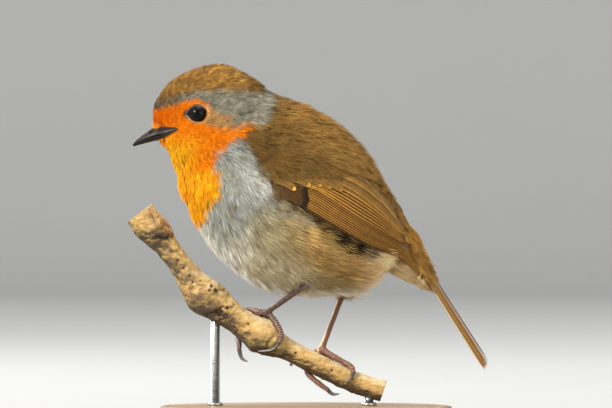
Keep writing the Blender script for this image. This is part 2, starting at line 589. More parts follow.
def vertex_array(mesh, key="co"):
    values = np.zeros(len(mesh.vertices) * 3, np.float32)
    if key == "co":
        mesh.vertices.foreach_get("co", values)
    else:
        mesh.vertex_normals.foreach_get("vector", values)
    return values.reshape(-1, 3).astype(float)


outline = vertex_array(skin.data)
lie, length, depth = coat_at(outline / MM)
sunk = outline - vertex_array(skin.data, "normal") * (depth[:, None] * MM + SEAM)
skin.data.vertices.foreach_set("co", sunk.astype(np.float32).ravel())
apply_modifier(skin, "SMOOTH", factor=0.5, iterations=3)
apply_modifier(skin, "TRIANGULATE")
skin.data.polygons.foreach_set("use_smooth", np.full(len(skin.data.polygons), True))
bpy.ops.object.select_all(action="DESELECT")
skin.select_set(True)
bpy.context.view_layer.objects.active = skin
bpy.ops.object.mode_set(mode="EDIT")
bpy.ops.mesh.select_all(action="SELECT")
bpy.ops.uv.smart_project(angle_limit=math.radians(66), island_margin=0.002)
bpy.ops.object.mode_set(mode="OBJECT")
skin.data.uv_layers.active.name = "OFBake"
print("skin triangles", len(skin.data.polygons))

# The markings. Each outline is seen from the side, x and z in mm, and is the same on both sides.
BIB = [(-48.4, 98.7), (-44.6, 98.9), (-41.0, 99.9), (-37.6, 101.0), (-35.4, 101.4), (-32.2, 101.2),
       (-30.2, 99.9), (-29.6, 98.4), (-26.6, 97.4), (-22.4, 96.2), (-21.9, 94.8), (-22.4, 93.2),
       (-21.0, 92.9), (-18.9, 93.6), (-15.4, 93.9), (-15.4, 92.2), (-17.6, 89.6), (-20.6, 88.2),
       (-23.6, 86.3), (-25.5, 84.7), (-27.1, 82.4), (-27.7, 80.0), (-27.2, 78.2), (-25.8, 77.3),
       (-25.4, 74.4), (-25.0, 71.0), (-27.0, 69.6), (-28.6, 68.4), (-29.1, 64.5), (-30.6, 62.6),
       (-32.6, 61.0), (-34.4, 60.6), (-36.2, 64.0), (-52.0, 64.0), (-52.0, 98.7)]
BROWN_EDGE = [(-60, 99.5), (-47.8, 100.2), (-44.2, 101.8), (-38.0, 103.2), (-31.5, 104.0), (-25.0, 103.9),
              (-19.0, 103.2), (-13.6, 102.4), (-10.4, 102.2), (-9.8, 99.0), (-10.2, 95.4), (-12.8, 92.8),
              (-16.4, 92.4), (-19.0, 90.4), (-20.0, 88.6), (-17.8, 86.8), (-15.6, 83.4), (-14.2, 80.0),
              (-11.6, 77.2), (-9.6, 74.4), (-8.6, 70.6), (-4, 68.4), (4, 65.4), (13, 60.6), (22, 56.4),
              (30, 52.4), (35.6, 48.0), (40.5, 41.5), (60, 30), (60, 140), (-60, 140)]


def inside(points, outline):
    """Signed distance in mm into a closed side-view outline, + inside."""
    x, z = points[:, 0], points[:, 2]
    nearest = np.full(len(points), 1e9)
    within = np.zeros(len(points), bool)
    for (ax, az), (bx, bz) in zip(outline, outline[1:] + outline[:1]):
        run_x, run_z = bx - ax, bz - az
        share = np.clip(((x - ax) * run_x + (z - az) * run_z) / (run_x ** 2 + run_z ** 2), 0, 1)
        nearest = np.minimum(nearest, np.hypot(x - ax - share * run_x, z - az - share * run_z))
        crosses = (az > z) != (bz > z)
        hit = ax + (z - az) / np.where(run_z == 0, 1e-9, run_z) * run_x
        within ^= crosses & (x < hit)
    return np.where(within, nearest, -nearest)


def step_up(value, low, high):
    share = np.clip((value - low) / (high - low), 0, 1)
    return share * share * (3 - 2 * share)


def hump(value, middle, spread):
    """A smooth rise to 1 at the middle."""
    return np.exp(-((value - middle) / spread) ** 2)


def blend(a, b, share):
    """Colour a turned towards colour b by a share for each point."""
    a = np.asarray(a, float)
    return a + (np.asarray(b, float) - a) * share[..., None]


ORANGE_DEEP = (0.90, 0.225, 0.0015)
ORANGE_WARM = (0.99, 0.45, 0.012)
ORANGE_RED = (0.86, 0.150, 0.0010)
EAR_OCHRE = (0.40, 0.25, 0.10)
BROWN_MANTLE = (0.178, 0.097, 0.024)
BROWN_BACK = (0.335, 0.178, 0.043)
BROWN_CROWN = (0.345, 0.178, 0.040)
BROWN_RUMP = (0.50, 0.245, 0.046)
GREY_SLATE = (0.245, 0.225, 0.165)
GREY_FOREHEAD = (0.150, 0.112, 0.068)
GREY_PALE = (0.365, 0.372, 0.330)
WHITE_BELLY = (0.95, 0.92, 0.83)
OLIVE_BUFF = (0.38, 0.295, 0.125)
FLANK_BUFF = (0.47, 0.295, 0.090)
BUFF_PALE = (0.97, 0.68, 0.37)
DARK_DOWN = (0.009, 0.006, 0.003)
UNDER_WING = [(-10, 71.0), (-4.7, 70.2), (0.1, 67.6), (7.3, 63.3), (13.3, 59.7), (19.2, 56.5), (24.0, 54.5),
              (23.0, 53.0), (19.5, 52.7), (16.0, 53.8), (13.0, 55.7), (10.3, 58.2), (6.5, 61.4), (3.0, 64.0),
              (-1.0, 66.5), (-5.0, 69.0), (-10.0, 70.3)]
WHITE_MARKS = [[(-18.6, 78.0), (-16.4, 77.2), (-12.3, 74.7), (-8.4, 71.2), (-9.0, 70.0), (-13.2, 73.0),
                (-17.2, 75.9)],
               [(-6.0, 66.2), (-1.0, 66.2), (3.2, 64.2), (5.2, 62.0), (1.0, 61.6), (-3.4, 63.0)]]
EAR_PATCH = [(-30.5, 97.7), (-26.6, 98.4), (-22.0, 97.0), (-18.6, 94.6), (-18.4, 92.6), (-22.2, 91.6),
             (-27.8, 92.6), (-31.2, 94.6)]


def plumage(points):
    """The colour of the plumage at points in mm, a row of red, green and blue for each."""
    x, z = points[:, 0], points[:, 2]
    wide = np.abs(points[:, 1])
    # Pale grey sides of the breast, washed with olive and buff towards the flanks.
    colour = blend(WHITE_BELLY, GREY_PALE, step_up(x + 0.45 * (z - 60), -35, -24) * step_up(z, 50, 62))
    olive = step_up(x + 0.35 * (60 - z), -24, -8) * step_up(wide, 3, 11) * step_up(70 - z, -2, 8)
    colour = blend(colour, OLIVE_BUFF, 0.8 * olive)
    flank = step_up(x, -10, 6) * step_up(wide, 3, 12) * step_up(z + 0.35 * x, 44, 54)
    colour = blend(colour, FLANK_BUFF, 0.9 * flank)
    colour = blend(colour, BUFF_PALE, step_up(x, 15, 25))
    for mark, strength in zip(WHITE_MARKS, (0.5, 0.2)):
        colour = blend(colour, WHITE_BELLY,
                       strength * step_up(inside(points, mark), -1.0, 0.8) * step_up(wide, 5, 9))
    colour = blend(colour, DARK_DOWN, step_up(inside(points, UNDER_WING), -0.9, 0.9) * step_up(wide, 5, 9))
    # Slate band from the forehead over the eye and down the side of the neck.
    slate = blend(GREY_SLATE, GREY_FOREHEAD, step_up(-x, 36, 43))
    slate = blend(slate, GREY_PALE, step_up(92 - z, 0, 8))
    colour = blend(colour, slate, step_up(z - 0.35 * (x + 30), 82, 90) * step_up(-x, 4, 14))
    upper = blend(BROWN_MANTLE, BROWN_CROWN, step_up(-x, 12, 26) * step_up(z, 98, 105))
    upper = blend(upper, BROWN_BACK, step_up(z + 0.85 * x, 82, 95) * step_up(x, -12, 0))
    upper = blend(upper, BROWN_RUMP, step_up(x, 25, 35))
    colour = blend(colour, upper, step_up(inside(points, BROWN_EDGE), -0.9, 1.3))
    orange = blend(ORANGE_DEEP, ORANGE_WARM,
                   np.maximum(step_up(-x - 0.25 * (95 - z), 26.5, 36.0) * step_up(93 - z, 0, 9),
                              0.8 * step_up(82 - z, 0, 8)))
    orange = blend(orange, ORANGE_RED, 0.8 * hump(x, -44.5, 3.6) * hump(z, 96.4, 2.2))
    orange = blend(orange, EAR_OCHRE, 0.92 * step_up(inside(points, EAR_PATCH), -0.9, 0.9))
    return blend(colour, orange, step_up(inside(points, BIB), -0.5, 0.6))


def paint(piece, colours, name="Tint"):
    """Writes a colour for each vertex."""
    layer = piece.data.color_attributes.new(name, "FLOAT_COLOR", "POINT")
    filled = np.ones((len(colours), 4), np.float32)
    filled[:, :3] = colours
    layer.data.foreach_set("color", filled.ravel())


def tint_of(tree):
    """The colour that paint() wrote."""
    return add(tree, "Attribute", attribute_name="Tint").outputs["Color"]


SKIN_SHADE = 0.55  # the skin is darker than the feathers over it
paint(skin, plumage(vertex_array(skin.data) / MM) * SKIN_SHADE)
skin_finish, tree, shader, place = new_material("skin_under_feathers")
grain_height = set_colour(tree, shader, tint_of(tree), place, 300.0, 2500.0, 0.3)
set_roughness(tree, shader, grain_height, (0.3, 0.75), (0.7, 0.95))
set_bump(tree, shader, grain_height, 0.4, 0.0002)
skin.data.materials.append(skin_finish)
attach(skin, "root")
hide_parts(*FLESH)

# ---- Body feathers --------------------------------------------------------------------------
# The small soft feathers of head and body: each is a fan of loose barbs on a short shaft, rooted
# in the skin and lapped over the next like roof tiles. They are shortest round the bill and eye.
rng = np.random.default_rng(7)
EYE_PLACE = np.array([-33.7, 97.0])
END_RUN = np.array([0.54, 0, -0.84])  # the way the body's end faces, down the tail
# The edge of the soft feathers over the closed wing, from the shoulder to the wing's tip, and the
# wing's lower edge back again. No soft feather is rooted inside it.
COVER_LINE = [(-11.2, 75.6), (-5.5, 75.0), (-3.1, 75.3), (-0.7, 75.7), (1.7, 76.0), (7.3, 76.2),
              (12.1, 76.6), (15.3, 76.8), (18.4, 75.2), (21.6, 72.4), (24.0, 69.2), (26.4, 65.9),
              (29.4, 60.2), (34.5, 51.4), (38.8, 43.8), (41.0, 39.4)]
WING_PANEL = COVER_LINE + [(38.4, 42.6), (35.2, 46.4), (30.8, 50.8), (25.2, 53.8), (19.2, 56.2), (13.3, 59.4),
                           (7.3, 63.0), (0.1, 67.3), (-4.7, 69.9), (-8.7, 71.9), (-11.3, 74.5)]


def triangle_sample(mesh, density):
    """Scattered roots: points, normals and places on the skin's unwrap, density per square mm."""
    points = vertex_array(mesh)
    normals = vertex_array(mesh, "normal")
    corners = np.zeros(len(mesh.polygons) * 3, np.int32)
    mesh.polygons.foreach_get("vertices", corners)
    corners = corners.reshape(-1, 3)
    uv = np.zeros(len(mesh.loops) * 2, np.float32)
    mesh.uv_layers["OFBake"].data.foreach_get("uv", uv)
    uv = uv.reshape(-1, 3, 2)
    a, b, c = (points[corners[:, k]] for k in range(3))
    area = np.linalg.norm(np.cross(b - a, c - a), axis=1) / 2 / MM ** 2
    wanted = area * density((a + b + c) / 3 / MM)
    count = np.floor(wanted + rng.random(len(wanted))).astype(int)
    face = np.repeat(np.arange(len(count)), count)
    share = rng.random((len(face), 2))
    share = np.where(share.sum(1, keepdims=True) > 1, 1 - share, share)
    weight = np.stack([1 - share.sum(1), share[:, 0], share[:, 1]], -1)[..., None]
    pick = corners[face]
    normal = unit((normals[pick] * weight).sum(1))
    return (points[pick] * weight).sum(1) / MM, normal, (uv[face] * weight).sum(1)


# Bare wedge of the gape's corner, between the feathers above and below it.
GAPE_TOP = [(-47.6, 92.5), (-45.8, 92.9), (-43.4, 92.85), (-41.4, 92.75), (-40.0, 92.6)]
GAPE_BOTTOM = [(-47.6, 88.8), (-46.2, 89.1), (-43.8, 90.2), (-41.8, 91.4), (-40.0, 92.4)]
GAPE_BARE = GAPE_TOP + GAPE_BOTTOM[::-1]


def zone_brown(points):
    """Signed distance into the brown upper parts, in mm."""
    return inside(points, BROWN_EDGE)


def feather_count(points):
    """Feathers for each square mm of skin: fine on the face, wide on the body, none under the wing."""
    _, length, _ = coat_at(points)
    count = 15.0 / length ** 1.25
    in_panel = (inside(points, WING_PANEL) > 0.4) & (np.abs(points[:, 1]) > 4)
    on_cap = (points - np.array([39.2, 0, 44.1])) @ END_RUN > -0.8
    on_cap |= (points[:, 0] > 34.7) & (zone_brown(points) < 0.3)
    eye_gap = np.hypot(points[:, 0] - EYE_PLACE[0], (points[:, 2] - EYE_PLACE[1]) * 1.12)
    on_eye = (eye_gap < 3.3) & (np.abs(points[:, 1]) > 6)
    at_bill = inside(points, GAPE_BARE) > -0.05
    return np.where(in_panel | on_eye | at_bill | on_cap, 0.0, count)


def laid_flat(vectors, normal):
    """Unit directions with their part along the normal taken out."""
    return unit(vectors - normal * (vectors * normal).sum(1, keepdims=True))


root, normal, root_uv = triangle_sample(skin.data, feather_count)
lie, length, depth = coat_at(root)
# The feathers part round the eye as water does round a stone.
from_eye = root[:, [0, 2]] - EYE_PLACE
eye_gap = np.maximum(np.linalg.norm(from_eye, axis=1, keepdims=True), 2.9)
spoke = from_eye / eye_gap
round_eye = np.stack([-spoke[:, 1], spoke[:, 0]], -1)
part = 2.7 ** 2 / eye_gap ** 2 * (np.abs(root[:, 1:2]) > 5)
lie = (spoke * (lie * spoke).sum(1, keepdims=True) * (1 - part)
       + round_eye * (lie * round_eye).sum(1, keepdims=True) * (1 + part))
lie = np.stack([lie[:, 0], np.zeros(len(lie)), lie[:, 1]], -1)
# The tail coverts all point down the tail.
down_tail = step_up(root[:, 0], 29.5, 34.0)[:, None]
lie = lie * (1 - down_tail) + END_RUN * down_tail
# Past the rump the feathers stand off the tail's root, not off the end of the body.
at_end = step_up(root[:, 0], 36.0, 38.5)[:, None]
radial = normal - END_RUN * (normal @ END_RUN)[:, None]
normal = unit(normal * (1 - at_end) + radial * at_end)
lie = laid_flat(lie, normal)
sleek = step_up(root[:, 0], 26.0, 34.0)
yaw = np.radians(rng.normal(0, 9, len(root)) * (1 - 0.6 * sleek))[:, None]
across = np.cross(normal, lie)
lie = lie * np.cos(yaw) + across * np.sin(yaw)
across = np.cross(normal, lie)
# Next to the flight feathers they are short and scaly, as the small wing coverts are.
to_panel = -inside(root, WING_PANEL)
above_wing = (np.abs(root[:, 1]) > 4) & (root[:, 2] > 60 - 0.8 * (root[:, 0] - 18))
above_wing &= (root[:, 0] > -12) & (root[:, 0] < 27)
length = np.where(above_wing, np.minimum(length, np.maximum(2.6, to_panel * 1.2 + 1.6)), length)
length = np.where(root[:, 0] > 32, np.minimum(length, 5.0), length) * rng.uniform(0.82, 1.18, len(root))
over_gape = inside(root + lie * length[:, None] * 0.8, GAPE_BARE) > 0.1
length = np.where(over_gape, length * 0.35, length)
# The feathers stand highest on the crown and the rump, and hang loose behind the thigh.
brown_place = zone_brown(root)
rise = 1 + 0.18 * step_up(root[:, 2], 103, 108) * step_up(-root[:, 0], 8, 16)
rise += 0.22 * step_up(brown_place, 0, 3) * step_up(root[:, 0], -10, 6)
rise += 0.15 * step_up(brown_place, 0, 3) * step_up(root[:, 0], 24, 30)
loose = hump(root[:, 0], 11, 6) * hump(root[:, 2], 44, 5)
rise += 0.9 * loose
rise -= 0.45 * sleek * step_up(-brown_place, 0, 2)
length = length * (1 + 0.25 * loose)
length = length * (1 - 0.45 * step_up(root[:, 0], 31, 37) * step_up(-brown_place, 0, 2))
tip_place = root + lie * length[:, None] * 0.8
tint = plumage(tip_place + rng.normal(0, 0.45, tip_place.shape))
# Loose feathers clump, and darker bases show between the clumps, most of all on the underparts.
clumps = roughen(root + 0.5 * lie * length[:, None], 0.30, 3)
specks = roughen(root, 1.05, 2)
in_bib = inside(root, BIB) > 0
under = (brown_place < 0) & ~in_bib & (root[:, 2] < 88)
head_top = ~in_bib & (root[:, 2] > 88) & (root[:, 0] < -10)
calm = 1 - 0.65 * step_up(-root[:, 0], 16, 26) * step_up(66 - root[:, 2], 0, 8)
tint *= 1 + (calm * clumps * np.select([under, in_bib, head_top], [0.36, 0.09, 0.26], 0.24))[:, None]
tint *= 1 + (calm * specks * np.select([under, in_bib, head_top], [0.26, 0.16, 0.75], 0.12))[:, None]
between_clumps = np.clip(-clumps * calm, 0, 1)[:, None] * np.array([0.05, 0.18, 0.50])
tint = np.where((under & (root[:, 0] < 17))[:, None], tint * (1 - between_clumps), tint)
tint *= 1 + rng.normal(0, 1, (len(root), 1)) * np.where(brown_place > 0, 0.08, 0.12)[:, None]
tint *= rng.normal(1.0, 0.03, tint.shape)
tint = np.clip(tint, 0.003, 0.97)
body_coat = {"root": root, "normal": normal, "lie": lie, "across": across, "length": length, "depth": depth,
             "tint": tint, "uv": root_uv, "rise": rise}


def unwrap_to(piece, places):
    """Gives each point its place on the piece's unwrap."""
    order = np.zeros(len(piece.data.loops), np.int32)
    piece.data.loops.foreach_get("vertex_index", order)
    layer = piece.data.uv_layers.new(name="OFBake")
    layer.data.foreach_set("uv", places[order].astype(np.float32).ravel())


def fan_feathers(name, coat, chosen, barbs, rows, barb_width, spread, dark_share=0.0, base=0.5):
    """One piece of coat: fans of tapering barbs on the chosen roots."""
    root, normal, lie, across, length, depth, tint, root_uv, rise = (
        coat[key] for key in ("root", "normal", "lie", "across", "length", "depth", "tint", "uv", "rise"))
    count = len(chosen)
    fan = np.linspace(-1, 1, barbs) + rng.normal(0, 0.12, (count, barbs))
    reach = length[chosen, None] * (1 - 0.20 * fan ** 2) * rng.uniform(0.86, 1.08, (count, barbs))
    open_out = spread * length[chosen, None] * fan
    share = np.linspace(0, 1, rows)
    lift = depth[chosen] * rise[chosen] * rng.uniform(0.58, 1.14, count)
    round_body = 13 + 3.0 * length[chosen]
    bend = (reach[..., None] * share) ** 2 / (2 * round_body[:, None, None])
    height = lift[:, None, None] * (1.25 * share - 0.25 * share ** 2) - 0.2 * (1 - share) - bend * 0.8
    side_wave = rng.normal(0, 0.05, (count, barbs, 1)) * reach[..., None] * np.sin(2.2 * share)
    along = reach[..., None] * share
    out = open_out[..., None] * share ** 0.7 + side_wave
    line = (root[chosen, None, None, :] + lie[chosen, None, None, :] * along[..., None]
            + across[chosen, None, None, :] * out[..., None]
            + normal[chosen, None, None, :] * height[..., None])
    twist = rng.normal(0, 0.35, (count, barbs, 1, 1))
    edge = across[chosen, None, None, :] * np.cos(twist) + normal[chosen, None, None, :] * np.sin(twist)
    taper = (barb_width / 2) * (1 - 0.5 * share[:-1]) * np.minimum(1, 0.55 + share[:-1] * 3)
    left = line[:, :, :-1] - edge * taper[:, None]
    right = line[:, :, :-1] + edge * taper[:, None]
    points = np.concatenate([np.stack([left, right], 3).reshape(count, barbs, -1, 3), line[:, :, -1:]], 2)
    per_barb = 2 * (rows - 1) + 1
    first = (np.arange(count * barbs) * per_barb)[:, None]
    quads = np.concatenate([first + np.array([2 * r, 2 * r + 1, 2 * r + 3, 2 * r + 2])
                            for r in range(rows - 2)])
    tips = first + np.array([per_barb - 3, per_barb - 2, per_barb - 1])
    piece = mesh_piece(name, points.reshape(-1, 3) * MM, quads, tips)
    fade = np.concatenate([np.repeat(share[:-1], 2), [1.0]])
    barb_tone = rng.normal(1.0, 0.15, (count, barbs, 1, 1))
    barb_tone *= np.where(rng.random((count, barbs, 1, 1)) < dark_share, 0.5, 1.0)
    tone = (base + (1.06 - base) * fade)[None, None, :, None] * barb_tone
    shades = np.clip(tint[chosen, None, None, :] * tone, 0, 1)
    paint(piece, shades.reshape(-1, 3))
    patch_place = np.stack(np.broadcast_arrays((fan[..., None] * 0.5) * PATCH, (fade - 0.5) * PATCH), -1)
    uv = (root_uv[chosen, None, None, :] + patch_place).reshape(-1, 2)
    unwrap_to(piece, np.clip(uv, 0, 1))
    return piece


PATCH = 0.003  # a feather's patch on the skin's unwrap
feather_soft, tree, shader, place = new_material("soft_feather")
grain_height = set_colour(tree, shader, tint_of(tree), place, 500.0, 4000.0, 0.22)
set_roughness(tree, shader, grain_height, (0.3, 0.62), (0.7, 0.8))
shader.inputs["Specular IOR Level"].default_value = 0.06

SIDES = (("left", -1), ("right", 1))
# Pieces of the coat: name, barbs on a feather, points along a barb, barb width in mm, spread, share
# of dark barbs, and brightness of a barb's base.
ZONES = [("face", 8, 3, 0.13, 0.20, 0.03, 0.6), ("crown", 9, 3, 0.13, 0.20, 0.12, 0.5),
         ("breast", 12, 4, 0.16, 0.20, 0.04, 0.76), ("back", 12, 4, 0.16, 0.22, 0.05, 0.6),
         ("belly", 12, 4, 0.16, 0.24, 0.05, 0.76), ("vent", 12, 4, 0.16, 0.20, 0.05, 0.66)]
zone = np.full(len(root), 4)
zone[root[:, 0] > 14] = 5
zone[inside(root, BROWN_EDGE) > 0] = 3
zone[(root[:, 0] < -10) & (root[:, 2] - 0.9 * (root[:, 0] + 35) > 61)] = 2
head_part = root[:, 2] + 1.05 * root[:, 0] < 75
head_part &= root[:, 2] > 82
zone[head_part & (length < 3.4)] = 0
zone[head_part & (length >= 3.4)] = 1
for number, (label, barbs, rows, barb_width, spread, dark_share, base) in enumerate(ZONES):
    for side, sign in SIDES:
        chosen = np.nonzero((zone == number) & (np.sign(root[:, 1]) == sign))[0]
        coat = fan_feathers(f"coat_{label}_{side}", body_coat, chosen, barbs, rows, barb_width, spread,
                            dark_share, base)
        coat.data.materials.append(feather_soft)
        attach(coat, "root")
        print(coat.name, len(chosen), len(coat.data.polygons))


def extra_tufts(name, spot, facing, lie, length, depth, tint, uv, barbs, barb_width, spread):
    """A small piece of coat on its own roots."""
    facing = unit(facing)
    lie = laid_flat(lie, facing)
    tufts = {"root": spot, "normal": facing, "lie": lie, "across": np.cross(facing, lie), "length": length,
             "depth": np.full(len(spot), depth), "tint": tint, "uv": uv, "rise": np.ones(len(spot))}
    piece = fan_feathers(name, tufts, np.arange(len(spot)), barbs, 3, barb_width, spread)
    piece.data.materials.append(feather_soft)
    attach(piece, "root")
    return piece


# Little feathers that lie forward over the base of the bill.
count = 190
angle = np.radians(rng.uniform(-78, 78, count))
back_off = rng.uniform(0, 1, count)
spot = np.stack([-46.9 + 0.9 * back_off + 0.4 * np.abs(np.sin(angle)), (2.1 + 0.5 * back_off) * np.sin(angle),
                 92.3 + (1.9 + 0.9 * back_off) * np.cos(angle)], -1)
facing = np.stack([np.full(count, -0.25), np.sin(angle), np.cos(angle)], -1)
forward = np.stack([np.full(count, -1.0), -0.20 * np.sin(angle), -0.30 * np.cos(angle)], -1)
tint = blend(plumage(spot - np.array([1.5, 0, 0])), ORANGE_WARM, np.full(count, 0.35))
extra_tufts("coat_nasal", spot, facing, forward, rng.uniform(1.2, 1.8, count), 0.25,
            tint * rng.normal(1, 0.1, (count, 1)), np.stack([0.5 + angle / 3, back_off], -1) * 0.9,
            6, 0.11, 0.2)
# And those of the chin, which start close under the bill.
count = 170
angle = np.radians(rng.uniform(-80, 80, count))
back_off = rng.uniform(0, 1, count)
spot = np.stack([-46.0 + 1.5 * back_off, (1.7 + 0.9 * back_off) * np.sin(angle),
                 90.5 - (1.1 + 1.7 * back_off) * np.cos(angle)], -1)
facing = np.stack([np.full(count, -0.7), np.sin(angle), -0.7 * np.cos(angle)], -1)
downward = np.stack([np.full(count, -0.05), 0.15 * np.sin(angle), np.full(count, -1.0)], -1)
tint = plumage(spot) * rng.normal(0.95, 0.1, (count, 1))
extra_tufts("coat_chin", spot, facing, downward, rng.uniform(1.3, 2.0, count), 0.35, tint,
            np.stack([0.5 + angle / 3, back_off], -1) * 0.9, 6, 0.11, 0.2)

# ---- Wings ----------------------------------------------------------------------------------
# The closed wing: stiff vanes on shafts, each tucked under the one above it like roof tiles, so
# that little more than rusty outer edges shows. Short coverts with buff tips lap over their bases.
wing_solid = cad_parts["wing_left"].data
wing_tree = face_tree(wing_solid)
SURFACE_STEP = 0.5
surface_x = np.arange(-20.0, 50.0, SURFACE_STEP)
surface_z = np.arange(30.0, 92.0, SURFACE_STEP)
standing = np.zeros((len(surface_x), len(surface_z)))
known = np.zeros(standing.shape, bool)
for i, x in enumerate(surface_x):
    for k, z in enumerate(surface_z):
        hit = wing_tree.ray_cast(Vector((x, -60.0, z)) * MM, Vector((0, 1, 0)))[0]
        if hit is None and z > 76 - 0.9 * max(x - 4, 0) - 0.05 * x:
            hit = outline_tree.ray_cast(Vector((x, -60.0, z)) * MM, Vector((0, 1, 0)))[0]
        if hit is not None:
            standing[i, k] = -hit.y / MM
            known[i, k] = True
while not known.all():
    total = np.zeros(standing.shape)
    count = np.zeros(standing.shape)
    for axis in (0, 1):
        for shift in (-1, 1):
            near = np.roll(known, shift, axis)
            total += np.where(near, np.roll(standing, shift, axis), 0)
            count += near
    fresh = ~known & (count > 0)
    standing[fresh] = total[fresh] / count[fresh]
    known |= fresh
for _ in range(6):
    padded = np.pad(standing, 1, mode="edge")
    high, wide = standing.shape
    standing = sum(padded[a:a + high, b:b + wide] for a in range(3) for b in range(3)) / 9


def wing_standing(x, z):
    """How far the closed wing's outer face stands from the bird's middle plane, in mm."""
    i = np.clip((x - surface_x[0]) / SURFACE_STEP, 0, len(surface_x) - 1.001)
    k = np.clip((z - surface_z[0]) / SURFACE_STEP, 0, len(surface_z) - 1.001)
    low_i, low_k = i.astype(int), k.astype(int)
    a, b = i - low_i, k - low_k
    return (standing[low_i, low_k] * (1 - a) * (1 - b) + standing[low_i + 1, low_k] * a * (1 - b)
            + standing[low_i, low_k + 1] * (1 - a) * b + standing[low_i + 1, low_k + 1] * a * b)


VANE_COLUMNS = np.array([0.0, 0.045, 0.09, 0.125, 0.17, 0.24, 0.34, 0.5, 0.75, 1.0])
SHAFT_WIDTH = 0.12


def grid_quads(rows, columns, first=0):
    """Faces of an open sheet of points laid row after row."""
    grid = first + np.arange(rows * columns).reshape(rows, columns)
    return np.stack([grid[:-1, :-1], grid[:-1, 1:], grid[1:, 1:], grid[1:, :-1]], -1).reshape(-1, 4)


def vane(lower, upper, look, place):
    """One feather between two long edges on a plan in mm: points, quads, colours, unwrap, barb places."""
    rows = len(lower)
    along = np.linspace(0, 1, rows)[:, None]
    shaft = look.get("shaft", 0.3)
    width = np.linalg.norm(upper - lower, axis=1)[:, None]
    rounding = np.clip((along - look["round"]) / (1 - look["round"]), 0, 1)
    fullness = np.sqrt(1 - rounding ** 2 + 1e-5) * np.clip(0.3 + along / 0.15, 0, 1)
    across = VANE_COLUMNS[None, :]
    quill = lower + (upper - lower) * shaft
    plan = quill[:, None, :] + (upper - lower)[:, None, :] * ((across - shaft) * fullness)[..., None]
    from_shaft = (across - shaft) * width
    out = look["lift"] - look["tilt"] * from_shaft * fullness - look.get("camber", 0.02) * from_shaft ** 2
    out = out + look.get("sink", 0.0) * (1 - along) ** 2
    from_edge = across * width
    rim_width = look["rim_width"] * (1 - look.get("narrow", 0.0) * along)
    rim = 1 - step_up(from_edge, rim_width * 0.75, rim_width * 1.25)
    rim = rim * (1 - look.get("rim_fade", 0.0) * step_up(along, 0.45, 0.95))
    rim = rim * step_up(along, look.get("rim_from", -1.0), look.get("rim_from", -1.0) + 0.25)
    colour = np.broadcast_to(np.array(look["web"], float), (rows, len(VANE_COLUMNS), 3))
    colour = blend(colour, look["inner"], step_up(across + 0 * along, shaft, shaft + 0.2))
    colour = blend(colour, look.get("end_web", look["web"]), step_up(along, 0.7, 1.0) + 0 * across)
    colour = blend(colour, look["rim"], rim)
    if "tip" in look:
        spot = step_up(along, look["tip_from"], look["tip_from"] + 0.05) * (1 - step_up(across, 0.75, 1.0))
        colour = blend(colour, look["tip"], spot)
    colour = colour * rng.normal(1.0, 0.05) * rng.normal(1.0, 0.06, (rows, 1, 1))
    columns = len(VANE_COLUMNS)
    points = [place(plan, out).reshape(-1, 3)]
    quads = [grid_quads(rows, columns), grid_quads(rows, 3, rows * columns)]
    length = np.concatenate([[0], np.cumsum(np.linalg.norm(np.diff(quill, axis=0), axis=1))])[:, None]
    barb = np.stack(np.broadcast_arrays(length - 0.9 * np.abs(from_shaft), 0.15 * from_shaft,
                                        rng.uniform(0, 90)), -1)
    unwrap = np.stack(np.broadcast_arrays(across * 0.9, along), -1).reshape(-1, 2)
    sideways = (upper - lower) / width
    thick = SHAFT_WIDTH * (1.15 - along)
    base_out = look["lift"] + look.get("sink", 0.0) * (1 - along) ** 2
    strip = []
    for offset, rise in ((-1, -0.03), (0, 0.07), (1, -0.03)):
        strip.append(place(quill + sideways * offset * thick, (base_out + rise)[:, 0]))
    points.append(np.stack(strip, 1).reshape(-1, 3))
    shaft_colour = np.tile(np.array(look.get("shaft_colour", (0.035, 0.02, 0.012))), (rows * 3, 1))
    colours = np.vstack([colour.reshape(-1, 3), shaft_colour])
    strip_unwrap = np.stack(np.broadcast_arrays(np.array([0.94, 0.97, 1.0]), along), -1).reshape(-1, 2)
    strip_barb = np.zeros((rows * 3, 3))
    return (np.vstack(points), np.vstack(quads), np.clip(colours, 0, 1),
            np.vstack([unwrap, strip_unwrap]), np.vstack([barb.reshape(-1, 3), strip_barb]))


def join_vanes(name, vanes, finish, flipped=False):
    """One piece from many vanes, each with its own cell of the unwrap."""
    cells = math.ceil(math.sqrt(len(vanes)))
    points, quads, colours, uvs, barbs, start = [], [], [], [], [], 0
    for number, (at, faces, tone, unwrap, barb) in enumerate(vanes):
        points.append(at)
        quads.append(faces[:, ::-1] + start if flipped else faces + start)
        colours.append(tone)
        uvs.append((np.array([number % cells, number // cells]) + 0.04 + 0.92 * unwrap) / cells)
        barbs.append(barb)
        start += len(at)
    piece = mesh_piece(name, np.vstack(points) * MM, np.vstack(quads))
    paint(piece, np.vstack(colours))
    barb_places = piece.data.attributes.new("Barb", "FLOAT_VECTOR", "POINT")
    barb_places.data.foreach_set("vector", np.vstack(barbs).astype(np.float32).ravel())
    unwrap_to(piece, np.vstack(uvs))
    piece.data.materials.append(finish)
    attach(piece, "root")
    print(name, len(piece.data.polygons))
    return piece


